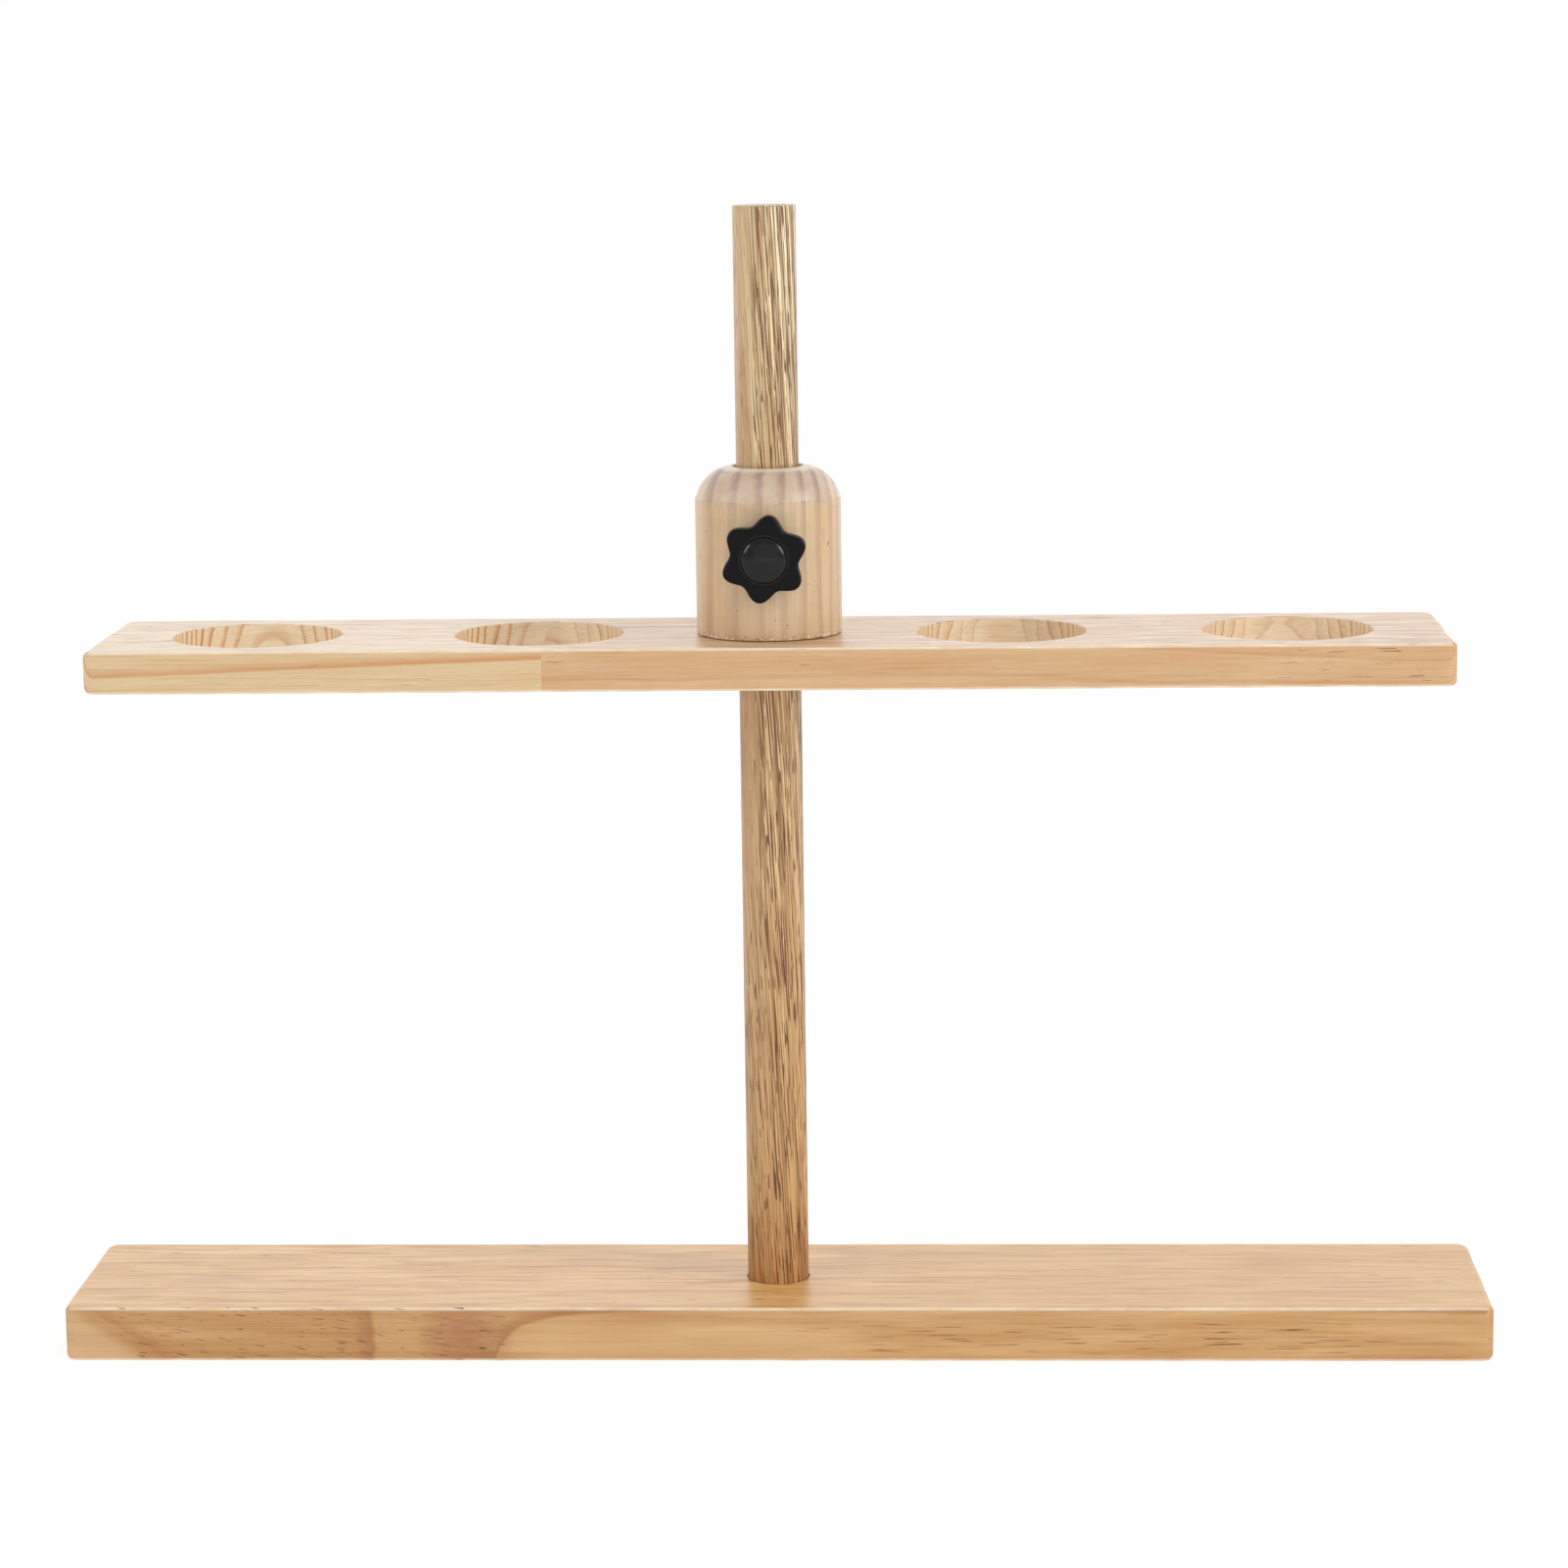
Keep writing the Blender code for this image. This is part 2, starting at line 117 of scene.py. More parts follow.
# Post
POST_ROW = 3 * MM
POST_EASE = 0.5 * MM
OUT_OF_ROUND = 0.002
OUT_OF_ROUND_WAVE = 30 * MM

# Collar
SHOULDER_RADIUS = 12.6 * MM
SHOULDER_ANGLE = radians(77)
SHOULDER_STEPS = 24
COLLAR_ROW = 2 * MM
MOUTH_RADIUS = 11.35 * MM
MOUTH_DEPTH = 1.4 * MM
STUD_BORE = 3.2 * MM
INSERT_BORE = 4.8 * MM

# Clamp
KNOB_LOBES = 6
KNOB_TURNED_BY = radians(8)
KNOB_TIP = 13.8 * MM
KNOB_VALLEY = 10.8 * MM
KNOB_SEGMENTS = 144
DOME_STEPS = 14
THREAD_PITCH = 1 * MM
THREAD_DEPTH = 0.55 * MM
THREAD_ROWS = 8
INSERT_PITCH = 2 * MM
INSERT_THREAD_DEPTH = 0.6 * MM
HEXAGON_APOTHEM = 3.15 * MM
HEXAGON_DEPTH = 3 * MM


# ---------- mesh helpers


def smooth(mesh):
    mesh.shade_smooth()
    mesh.set_sharp_from_angle(angle=SMOOTH_ANGLE)


def add_piece(name, bm):
    bmesh.ops.recalc_face_normals(bm, faces=bm.faces)
    mesh = bpy.data.meshes.new(name)
    bm.to_mesh(mesh)
    bm.free()
    smooth(mesh)
    piece = bpy.data.objects.new(name, mesh)
    bpy.context.scene.collection.objects.link(piece)
    return piece


def shape_with(piece, cutter, operation="DIFFERENCE"):
    """Applies one exact Boolean and removes the cutter."""
    modifier = piece.modifiers.new(operation, "BOOLEAN")
    modifier.operation = operation
    modifier.object = cutter
    modifier.solver = "EXACT"
    graph = bpy.context.evaluated_depsgraph_get()
    mesh = bpy.data.meshes.new_from_object(piece.evaluated_get(graph))
    piece.modifiers.clear()
    piece.data = mesh
    smooth(mesh)
    bpy.data.objects.remove(cutter, do_unlink=True)


def skin(bm, rings):
    """Joins rings that have the same number of vertices with quads."""
    for lower, upper in zip(rings, rings[1:]):
        for i in range(len(lower)):
            j = (i + 1) % len(lower)
            bm.faces.new((lower[i], lower[j], upper[j], upper[i]))


def ring_solid(sections, segments, hollow=False):
    """A body of rings about Z. A section is (radius or its rule from the angle, height)."""
    bm = bmesh.new()
    rings = []
    for radius, height in sections:
        ring = []
        for step in range(segments):
            angle = 2 * pi * step / segments
            r = radius(angle) if callable(radius) else radius
            ring.append(bm.verts.new((r * cos(angle), r * sin(angle), height)))
        rings.append(ring)
    if hollow:
        rings.append(rings[0])
    skin(bm, rings)
    if not hollow:
        bm.faces.new(rings[0])
        bm.faces.new(rings[-1])
    return bm


def point_outwards(bm):
    """Lays a body made along +Z along the clamp's axis, towards -Y."""
    turn = Matrix.Translation((0, 0, CLAMP_Z)) @ Matrix.Rotation(pi / 2, 4, "X")
    bmesh.ops.transform(bm, matrix=turn, verts=bm.verts)
    return bm


def quarter_turn(steps):
    """Angles from 0 to 90 degrees."""
    return [pi / 2 * step / steps for step in range(steps + 1)]


# ---------- boards


def board_outline(low, high):
    """Points and outward directions round the board's plan, with round corners."""
    centre = ((low + high) / 2).xy
    reach = ((high - low) / 2).xy - Vector((CORNER_RADIUS, CORNER_RADIUS))
    corners = [(reach.x, -reach.y), (reach.x, reach.y), (-reach.x, reach.y), (-reach.x, -reach.y)]
    points = []
    for number, corner in enumerate(corners):
        for step in range(CORNER_STEPS + 1):
            angle = pi / 2 * (number - 1 + step / CORNER_STEPS)
            outward = Vector((cos(angle), sin(angle)))
            points.append((centre + Vector(corner) + outward * CORNER_RADIUS, outward))
        start = points[-1][0]
        end = centre + Vector(corners[(number + 1) % 4]) + outward * CORNER_RADIUS
        count = round((end - start).length / OUTLINE_SPACING)
        for step in range(1, count):
            points.append((start.lerp(end, step / count), outward))
    return points


def eased_section(low, high, ease):
    """(inset, height) over an eased edge: support, round, side rows, round, support."""
    upper = [(ease + SUPPORT, high)]
    upper += [(ease * (1 - sin(a)), high - ease * (1 - cos(a))) for a in quarter_turn(EASE_STEPS)]
    lower = [(inset, low + high - height) for inset, height in reversed(upper)]
    top, bottom = upper[-1][1], lower[0][1]
    side = [(0, top + (bottom - top) * row / (SIDE_ROWS + 1)) for row in range(1, SIDE_ROWS + 1)]
    return upper + side + lower


def outside_wood(points, ring_of, face):
    """True for a triangle that spans a hole or a hollow of the outline.

    It joins three points of one ring: in the ring's own order when it spans a hole (ring 2 and
    up), against that order when it lies outside the outline (ring 1).
    """
    a, b, c = sorted(face)
    ring = ring_of[a]
    if not ring or ring != ring_of[b] or ring != ring_of[c]:
        return False
    first, second = points[b] - points[a], points[c] - points[a]
    turn = first.cross(second)
    return turn < 0 if ring == 1 else turn > 0


def fill_face(bm, outer, holes, low, high):
    """Fills the flat face between an outer ring and hole rings with even triangles."""
    verts, edges, ring_of = [], [], []
    for number, ring in enumerate([outer] + holes, 1):
        first = len(verts)
        edges += [(first + i, first + (i + 1) % len(ring)) for i in range(len(ring))]
        verts += ring
        ring_of += [number] * len(ring)
    circles = []
    for ring in holes:
        centre = sum((v.co.xy for v in ring), Vector((0, 0))) / len(ring)
        circles.append((centre, max((v.co.xy - centre).length for v in ring)))
    z = outer[0].co.z
    margin = FILL_SPACING / 2
    columns = round((high.x - low.x) / FILL_SPACING)
    rows = round((high.y - low.y) / FILL_SPACING)
    for column in range(1, columns):
        for row in range(1, rows):
            x = low.x + (high.x - low.x) * (column + 0.5 * (row % 2)) / columns
            y = low.y + (high.y - low.y) * row / rows
            within = x < high.x - margin
            if within and all((Vector((x, y)) - c).length > r + margin for c, r in circles):
                verts.append(bm.verts.new((x, y, z)))
                ring_of.append(0)
    points = [v.co.xy for v in verts]
    result = delaunay_2d_cdt(points, edges, [], 0, 1e-9)
    for face in result[2]:
        corners = [result[3][i][0] for i in face]
        if not outside_wood(points, ring_of, corners):
            bm.faces.new([verts[i] for i in corners])


def board_mesh(low, high, ease_at, holes):
    """A board with eased edges. A hole is (centre, segments, rule from angle to its section)."""
    bm = bmesh.new()
    plan = board_outline(low, high)
    sections = [eased_section(low.z, high.z, ease_at(point, outward)) for point, outward in plan]
    rings = []
    for row in range(len(sections[0])):
        ring = []
        for (point, outward), section in zip(plan, sections):
            inset, z = section[row]
            ring.append(bm.verts.new((*(point - outward * inset), z)))
        rings.append(ring)
    skin(bm, rings)
    tops, bottoms = [], []
    for centre, segments, section_at in holes:
        angles = [2 * pi * step / segments for step in range(segments)]
        columns = [section_at(angle) for angle in angles]
        hole_rings = []
        for row in range(len(columns[0])):
            hole_rings.append([
                bm.verts.new((centre.x + column[row][0] * cos(angle),
                              centre.y + column[row][0] * sin(angle), column[row][1]))
                for angle, column in zip(angles, columns)
            ])
        skin(bm, hole_rings)
        tops.append(hole_rings[0])
        bottoms.append(hole_rings[-1])
    fill_face(bm, rings[0], tops, low, high)
    fill_face(bm, rings[-1], bottoms, low, high)
    return bm


def sanded_ease(point, outward):
    """Long edges are only broken with sandpaper, the ends are rounded more, both unevenly."""
    ease = EDGE_EASE + (END_EASE - EDGE_EASE) * abs(outward.x)
    return ease * (1 + EASE_UNEVENNESS * noise.noise(point.to_3d() / EASE_WAVE))


def straight_hole(low, high, radius):
    """The section of a plain hole whose rims are just broken."""
    ease = 0.15 * MM
    section = [(radius + ease + SUPPORT, high), (radius + ease, high), (radius, high - ease),
               (radius, low + ease), (radius + ease, low), (radius + ease + SUPPORT, low)]
    return lambda angle: section


def tapered_hole(low, high, seed):
    """A cone-cut hole whose rim is broken unevenly, with a few small chips."""
    taper = (HOLE_TOP_RADIUS - HOLE_BOTTOM_RADIUS) / (high - low)

    def section_at(angle):
        around = Vector((2.4 * cos(angle), 2.4 * sin(angle), seed))
        chip = max(0.0, noise.noise(around * 2.2) - 0.42)
        ease = HOLE_EASE * (1 + 0.5 * noise.noise(around) + 5 * chip)
        return [(HOLE_BOTTOM_RADIUS + taper * (z - low) + inset, z)
                for inset, z in eased_section(low, high, ease)]

    return section_at


def screw_seat(low, head_radius, shank_radius, top, top_radius):
    """The section of a screw's hole from the top down to its countersink."""
    rim = low + SEAT_RIM
    section = [(top_radius + SUPPORT, top), (top_radius, top)]
    if top_radius > shank_radius:
        section += [(top_radius, low + SEAT_DEPTH)]
    section += [(shank_radius, low + SEAT_DEPTH), (shank_radius, rim + head_radius - shank_radius),
                (head_radius, rim), (head_radius, low), (head_radius + SUPPORT, low)]
    return lambda angle: section


def make_base_board():
    """The base with the post's socket and, below it, the seat of the post's screw."""
    seat = screw_seat(BASE_LOW.z, POST_SCREW_HEAD, PILOT_RADIUS, BASE_HIGH.z, SOCKET_RADIUS)
    holes = [(Vector((0, 0)), BORE_SEGMENTS, seat)]
    return add_piece("base_board_wood", board_mesh(BASE_LOW, BASE_HIGH, sanded_ease, holes))


def finger_slab(side):
    """A block that holds all of the shelf on one side of the joint: -1 is left, +1 is right."""
    low, high = LEFT_LOW, RIGHT_HIGH
    pitch = (high.y - low.y) / FINGER_COUNT
    root = JOINT_X - FINGER_REACH + side * JOINT_GAP / 2
    tip = JOINT_X + FINGER_REACH + side * JOINT_GAP / 2
    zigzag = []
    halfway = (FINGER_TIP + pitch / 2) / 2
    for finger in range(FINGER_COUNT + 1):
        start = low.y + finger * pitch - halfway
        zigzag += [(root, start), (root, start + FINGER_TIP), (tip, start + pitch / 2),
                   (tip, start + pitch / 2 + FINGER_TIP)]
    outer = (low.x if side < 0 else high.x) + side * MM
    plan = [(outer, zigzag[0][1])] + zigzag + [(outer, zigzag[-1][1])]
    bm = bmesh.new()
    floor_ring = [bm.verts.new((x, y, low.z - MM)) for x, y in plan]
    roof_ring = [bm.verts.new((x, y, high.z + MM)) for x, y in plan]
    skin(bm, [floor_ring, roof_ring])
    bm.faces.new(floor_ring)
    bm.faces.new(roof_ring)
    return add_piece("finger_slab", bm)


def make_shelf_staves():
    """The whole board with its holes, sawn into its two lengths at the finger joint."""
    low, high = LEFT_LOW, RIGHT_HIGH
    holes = [(centre, HOLE_SEGMENTS, tapered_hole(low.z, high.z, 3.7 * number))
             for number, centre in enumerate(HOLE_CENTRES)]
    holes.append((Vector((0, 0)), BORE_SEGMENTS, straight_hole(low.z, high.z, BORE_RADIUS)))
    seat = screw_seat(low.z, COLLAR_SCREW_HEAD, COLLAR_SCREW_SHANK, high.z, COLLAR_SCREW_SHANK)
    for node in COLLAR_SCREWS:
        screw_low, screw_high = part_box(node)
        holes.append((((screw_low + screw_high) / 2).xy, SMALL_SEGMENTS, seat))
    staves = []
    for name, side in (("shelf_left_wood", -1), ("shelf_right_wood", 1)):
        stave = add_piece(name, board_mesh(low, high, sanded_ease, holes))
        shape_with(stave, finger_slab(side), "INTERSECT")
        staves.append(stave)
    return staves


# ---------- post and collar


def make_post():
    """The dowel: barely out of round, with sanded ends and a pilot hole in its foot."""
    rows = round((POST_HIGH.z - POST_LOW.z) / POST_ROW)
    pilot_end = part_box("post_screw")[1].z + 0.5 * MM
    ends = [(POST_EASE * (1 - sin(a)), POST_EASE * (1 - cos(a))) for a in quarter_turn(4)]

    def dowel(z, inset):
        def radius(angle):
            around = Vector((cos(angle), sin(angle), z / OUT_OF_ROUND_WAVE))
            return (POST_RADIUS - inset) * (1 + OUT_OF_ROUND * noise.noise(around))
        return radius

    sections = [(PILOT_RADIUS, pilot_end), (PILOT_RADIUS, POST_LOW.z)]
    sections += [(dowel(POST_LOW.z, inset), POST_LOW.z + rise) for inset, rise in ends]
    for row in range(1, rows):
        z = POST_LOW.z + POST_EASE + (POST_HIGH.z - POST_LOW.z - 2 * POST_EASE) * row / rows
        sections.append((dowel(z, 0), z))
    sections += [(dowel(POST_HIGH.z, inset), POST_HIGH.z - rise) for inset, rise in reversed(ends)]
    sections.append((POST_RADIUS * 0.85, POST_HIGH.z))
    return add_piece("post_dowel", ring_solid(sections, BORE_SEGMENTS))


def make_collar():
    """Turned: a round shoulder that ends in a crease, a widened mouth and an uneven lower edge."""
    centre_r = COLLAR_RADIUS - SHOULDER_RADIUS
    centre_z = COLLAR_HIGH.z - SHOULDER_RADIUS
    mouth = MOUTH_RADIUS - BORE_RADIUS
    sections = [
        (BORE_RADIUS + BORE_EASE, COLLAR_LOW.z),
        (BORE_RADIUS, COLLAR_LOW.z + BORE_EASE),
        (BORE_RADIUS, COLLAR_HIGH.z - MOUTH_DEPTH),
        (BORE_RADIUS + 0.8 * mouth, COLLAR_HIGH.z - 0.25 * MOUTH_DEPTH),
    ]
    for step in range(SHOULDER_STEPS + 1):
        angle = SHOULDER_ANGLE * step / SHOULDER_STEPS
        sections.append((max(centre_r + SHOULDER_RADIUS * sin(angle), MOUTH_RADIUS),
                         centre_z + SHOULDER_RADIUS * cos(angle)))
    crease_z = sections[-1][1]
    sections.append((COLLAR_RADIUS - 0.05 * MM, crease_z - 0.25 * MM))
    side_top = crease_z - 0.6 * MM
    rows = round((side_top - COLLAR_LOW.z) / COLLAR_ROW)
    for row in range(rows):
        sections.append((COLLAR_RADIUS, side_top + (COLLAR_LOW.z - side_top) * row / rows))

    def chipped(seed, amount):
        def radius(angle):
            around = Vector((9 * cos(angle), 9 * sin(angle), seed))
            return COLLAR_RADIUS - amount * (0.4 + max(0.0, noise.noise(around)))
        return radius

    sections.append((chipped(1, 0.08 * MM), COLLAR_LOW.z + 0.45 * MM))
    sections.append((chipped(2, 0.45 * MM), COLLAR_LOW.z))
    collar = add_piece("collar_wood", ring_solid(sections, BORE_SEGMENTS * 2, hollow=True))
    floor_depth = -INSERT_HIGH.y - 0.3 * MM
    cross_bore = [(STUD_BORE, BORE_RADIUS - MM), (STUD_BORE, floor_depth),
                  (INSERT_BORE, floor_depth), (INSERT_BORE, COLLAR_RADIUS + MM)]
    drill = point_outwards(ring_solid(cross_bore, SMALL_SEGMENTS))
    shape_with(collar, add_piece("cross_bore", drill))
    return collar


# ---------- knob, stud, insert, screws


def thread_radius(crest, depth, pitch, height, angle):
    """A rounded V thread, right-handed about +Z."""
    turn = height / pitch - angle / (2 * pi)
    part = turn - floor(turn)
    return crest - depth * (0.5 + 0.5 * cos(2 * pi * part)) ** 0.8


def star_radius(angle):
    """The lobed outline that the knob is gripped by."""
    middle = (KNOB_TIP + KNOB_VALLEY) / 2
    swing = (KNOB_TIP - KNOB_VALLEY) / 2
    return middle + swing * cos(KNOB_LOBES * (angle - pi / 2 + KNOB_TURNED_BY))


def make_knob():
    """Moulded in one shot: blind boss, rounded lobes with a fine parting ridge, domed cap."""
    back, top = -KNOB_HIGH.y, -KNOB_LOW.y
    boss = 6.5 * MM
    star_back = back + 1.8 * MM
    dome_height = 2.9 * MM
    star_front = top - dome_height
    dome = 7.4 * MM
    edge = 1.3 * MM
    arc = quarter_turn(6)

    def star_inset(inset):
        return lambda angle: star_radius(angle) - inset

    def between(inset, radius, part):
        return lambda angle: (star_radius(angle) - inset) * (1 - part) + radius * part

    stud_end = -STUD_LOW.y + 0.3 * MM
    bore = 3.1 * MM
    sections = [(bore, stud_end), (bore, back + 0.3 * MM), (bore + 0.3 * MM, back)]
    sections += [(boss - 0.4 * MM, back), (boss, back + 0.4 * MM), (boss, star_back - 0.5 * MM),
                 (boss + 0.15 * MM, star_back - 0.15 * MM), (boss + 0.5 * MM, star_back)]
    sections += [(between(edge, boss + 0.5 * MM, 0.5), star_back)]
    sections += [(star_inset(edge * (1 - sin(a))), star_back + edge * (1 - cos(a))) for a in arc]
    middle = (star_back + star_front) / 2
    ridge = star_inset(-0.06 * MM)
    sections += [(ridge, middle - 0.12 * MM), (ridge, middle + 0.12 * MM)]
    sections += [(star_inset(edge * (1 - sin(a))), star_front - edge * (1 - cos(a)))
                 for a in reversed(arc)]
    rim = dome + 0.25 * MM
    for part in (0.25, 0.5, 0.75, 1.0):
        sections.append((between(edge, rim, part), star_front - 0.03 * MM * sin(pi * part / 2)))
    sections += [(dome * cos(a), star_front + dome_height * sin(a))
                 for a in quarter_turn(DOME_STEPS)[:-1]]
    return add_piece("star_knob_moulding", point_outwards(ring_solid(sections, KNOB_SEGMENTS)))


def threaded_rod(low, high, crest, depth, pitch, point=0.0):
    """Sections of a threaded shank from low to high; with a point it tapers over that length."""
    rows = round((high - low) / pitch * THREAD_ROWS)
    sections = []
    for row in range(rows + 1):
        z = low + (high - low) * row / rows
        taper = min(1.0, (high - z) / point) if point else 1.0
        fade = min(1.0, (z - low) / pitch)

        def radius(angle, z=z, taper=taper, fade=fade):
            cut = thread_radius(crest, depth * fade, pitch, z, angle)
            return max(cut * (0.15 + 0.85 * taper), 0.05 * MM)

        sections.append((radius, z))
    return sections


def make_stud():
    """The threaded stud, chamfered at the end that presses on the post."""
    tip, head = -STUD_HIGH.y, -STUD_LOW.y
    crest = (STUD_HIGH.x - STUD_LOW.x) / 2
    chamfer = 0.7 * MM
    sections = [(crest - chamfer, tip)]
    sections += threaded_rod(tip + chamfer, head, crest, THREAD_DEPTH, THREAD_PITCH)
    return add_piece("stud_steel", point_outwards(ring_solid(sections, SMALL_SEGMENTS)))


def make_insert():
    """A brass insert: coarse wood thread outside, hexagon drive in its face, bore behind it."""
    inner, face = -INSERT_HIGH.y, -INSERT_LOW.y
    crest = (INSERT_HIGH.x - INSERT_LOW.x) / 2
    bore = 3.05 * MM
    chamfer = 0.2 * MM
    edge = 0.3 * MM

    def hexagon(angle):
        part = (angle + pi / 6) % (pi / 3) - pi / 6
        return HEXAGON_APOTHEM / cos(part)

    sections = [(bore, inner), (bore, face - HEXAGON_DEPTH), (hexagon, face - HEXAGON_DEPTH),
                (hexagon, face - chamfer), (lambda a: hexagon(a) + chamfer, face),
                (crest - edge, face), (crest, face - edge)]
    thread = threaded_rod(inner, face - 0.8 * MM, crest, INSERT_THREAD_DEPTH, INSERT_PITCH)
    sections += reversed(thread)
    bm = point_outwards(ring_solid(sections, SMALL_SEGMENTS, hollow=True))
    return add_piece("insert_brass", bm)


def make_wood_screw(node):
    """A countersunk wood screw with a tapered cross recess, pointing up."""
    low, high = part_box(node)
    centre = ((low + high) / 2).xy
    head = (high.x - low.x) / 2
    shank = head * 0.5
    neck = low.z + 0.4 * MM + head - shank
    sections = [(head - 0.15 * MM, low.z), (head, low.z + 0.15 * MM), (head, low.z + 0.4 * MM),
                (shank * 1.02, neck), (shank * 0.92, neck + 2 * MM)]
    thread = threaded_rod(neck + 3 * MM, high.z, shank, shank * 0.32, SCREW_PITCH, SCREW_POINT)
    screw = add_piece(node + "_steel", ring_solid(sections + thread, SMALL_SEGMENTS))
    for turned in (0, pi / 2):
        bm = bmesh.new()
        bmesh.ops.create_cone(bm, segments=4, radius1=head * 0.95, radius2=head * 0.3,
                              depth=head * 0.75, cap_ends=True,
                              matrix=Matrix.Rotation(pi / 4, 4, "Z"))
        squeeze = Matrix.Diagonal((1, 0.3, 1, 1))
        bmesh.ops.transform(bm, matrix=Matrix.Rotation(turned, 4, "Z") @ squeeze, verts=bm.verts)
        bmesh.ops.translate(bm, vec=(0, 0, low.z + head * 0.3), verts=bm.verts)
        shape_with(screw, add_piece("recess", bm))
    screw.data.transform(Matrix.Translation((centre.x, centre.y, 0)))
    return screw


# ---------- node trees


def tone(red, green, blue):
    """A colour from its display values, 0 to 255."""
    shares = [c / 255 for c in (red, green, blue)]
    linear = [s / 12.92 if s <= 0.04045 else ((s + 0.055) / 1.055) ** 2.4 for s in shares]
    return (*linear, 1.0)


class Value:
    """A number, vector or colour in a node tree. The loop below makes it usable in sums."""

    def __init__(self, nodes, socket):
        self.nodes = nodes
        self.socket = socket


def add_operator(name, operation):
    """Lets a Value stand on either side of one Python operator."""
    setattr(Value, f"__{name}__", lambda self, other: self.nodes.math(operation, self, other))
    setattr(Value, f"__r{name}__", lambda self, other: self.nodes.math(operation, other, self))


OPERATORS = {"add": "ADD", "sub": "SUBTRACT", "mul": "MULTIPLY", "truediv": "DIVIDE",
             "pow": "POWER"}
for python_name, operation_name in OPERATORS.items():
    add_operator(python_name, operation_name)


class Nodes:
    """Writes a node tree as sums and calls. An input is a Value or a plain number or colour."""

    def __init__(self, tree):
        self.tree = tree

    def node(self, kind, inputs, output=0, **settings):
        node = self.tree.nodes.new("ShaderNode" + kind)
        for key, value in settings.items():
            setattr(node, key, value)
        for key, value in inputs.items():
            self.set_input(node.inputs[key], value)
        return Value(self, node.outputs[output])

    def set_input(self, socket, value):
        if isinstance(value, Value):
            self.tree.links.new(value.socket, socket)
        else:
            socket.default_value = value

    def split(self, vector):
        node = self.tree.nodes.new("ShaderNodeSeparateXYZ")
        self.tree.links.new(vector.socket, node.inputs[0])
        return [Value(self, output) for output in node.outputs]

    def vector(self, x, y, z):
        return self.node("CombineXYZ", {0: x, 1: y, 2: z})

    def math(self, operation, *values):
        return self.node("Math", dict(enumerate(values)), operation=operation)

    def noise(self, vector, detail=2.0, roughness=0.5):
        """Noise of about -1 to 1 whose features are one unit of the vector in size."""
        inputs = {"Vector": vector, "Scale": 1.0, "Detail": detail, "Roughness": roughness}
        return (self.node("TexNoise", inputs) - 0.5) * 4.0

    def step(self, value, low, high):
        """0 below low, 1 above high and smooth between; it falls where high is the smaller."""
        inputs = {"Value": value, "From Min": low, "From Max": high}
        return self.node("MapRange", inputs, interpolation_type="SMOOTHSTEP")

    def window(self, value, start, full, fade, end):
        """1 from full to fade, 0 before start and after end, and smooth between."""
        return self.step(value, start, full) * self.step(value, end, fade)

    def size(self, value):
        return self.math("ABSOLUTE", value)

    def larger(self, first, second):
        return self.math("MAXIMUM", first, second)

    def smaller(self, first, second):
        return self.math("MINIMUM", first, second)

    def clamp(self, value):
        return self.node("Clamp", {0: value})

    def choose(self, share, first, second):
        return first + share * (second - first)

    def mix(self, share, first, second, blend="MIX"):
        node = self.tree.nodes.new("ShaderNodeMix")
        node.data_type = "RGBA"
        node.blend_type = blend
        for key, value in (("Factor_Float", share), ("A_Color", first), ("B_Color", second)):
            socket = next(s for s in node.inputs if s.identifier == key)
            self.set_input(socket, value)
        return Value(self, next(s for s in node.outputs if s.identifier == "Result_Color"))


class Graph(Nodes):
    """A material's nodes. Places are in millimetres, in the piece's own space."""

    def __init__(self, name):
        self.material = bpy.data.materials.new(name)
        self.material.use_nodes = True
        super().__init__(self.material.node_tree)
        self.shader = self.tree.nodes["Principled BSDF"]
        metres = self.node("TexCoord", {}, output="Object")
        place = self.node("VectorMath", {0: metres, "Scale": 1000.0}, operation="SCALE")
        self.x, self.y, self.z = self.split(place)
        self.facing = self.split(self.node("TexCoord", {}, output="Normal"))
        self.upward = self.step(self.facing[2], 0.5, 0.9)

    def patches(self, long, deep, tall, detail=2.0, roughness=0.5):
        """Noise whose features are so many millimetres large along X, Y and Z."""
        place = self.vector(self.x / long, self.y / deep, self.z / tall)
        return self.noise(place, detail, roughness)

    def lines(self, long, deep, tall, low, high, shift=0.0):
        """Thin lines along X, about as long, deep and tall as given in millimetres."""
        place = self.vector(self.x / long + shift, self.y / deep, self.z / tall)
        return self.step(self.noise(place, 1.0), low, high)

    def from_axis(self, first, second):
        """The distance from an axis, given the two coordinates across it."""
        return (first * first + second * second) ** 0.5

    def shade(self, colour, red, green, blue):
        """Multiplies the colour by brightnesses for red, green and blue."""
        return self.mix(1.0, colour, self.node("CombineColor", {0: red, 1: green, 2: blue}),
                        "MULTIPLY")

    def finish(self, colour, roughness, height, depth, **others):
        """Wires the shader. Height is 0 to 1, and depth is its relief in millimetres."""
        bump = self.node("Bump", {"Height": height, "Distance": depth * MM, "Strength": 1.0})
        wiring = {"Base Color": colour, "Roughness": roughness, "Normal": bump}
        for key, value in {**wiring, **others}.items():
            self.set_input(self.shader.inputs[key.replace("_", " ")], value)
        return self.material


# ---------- pine


class Pine:
    """How one piece of softwood differs from the next.

    early and tint are the colours it varies between, late is that of its ring lines and top that
    of its upward faces, which is paler as painted light and sheen on the tops. As shares of a
    ring, its line darkens over the band and ends after fall.
    """

    soft = 0.3
    band = (0.72, 0.95)
    fall = 0.945
    lines = 1.0
    along = "X"

    def __init__(self, **own):
        for name, value in own.items():
            setattr(self, name, value)


DUCT_COLOUR = tone(116, 48, 8)
FRESH_CUT = tone(238, 218, 186)
# The colour of worn long edges, which also serves as their painted highlight
RUBBED_AND_HIGHLIGHT = tone(255, 240, 214)


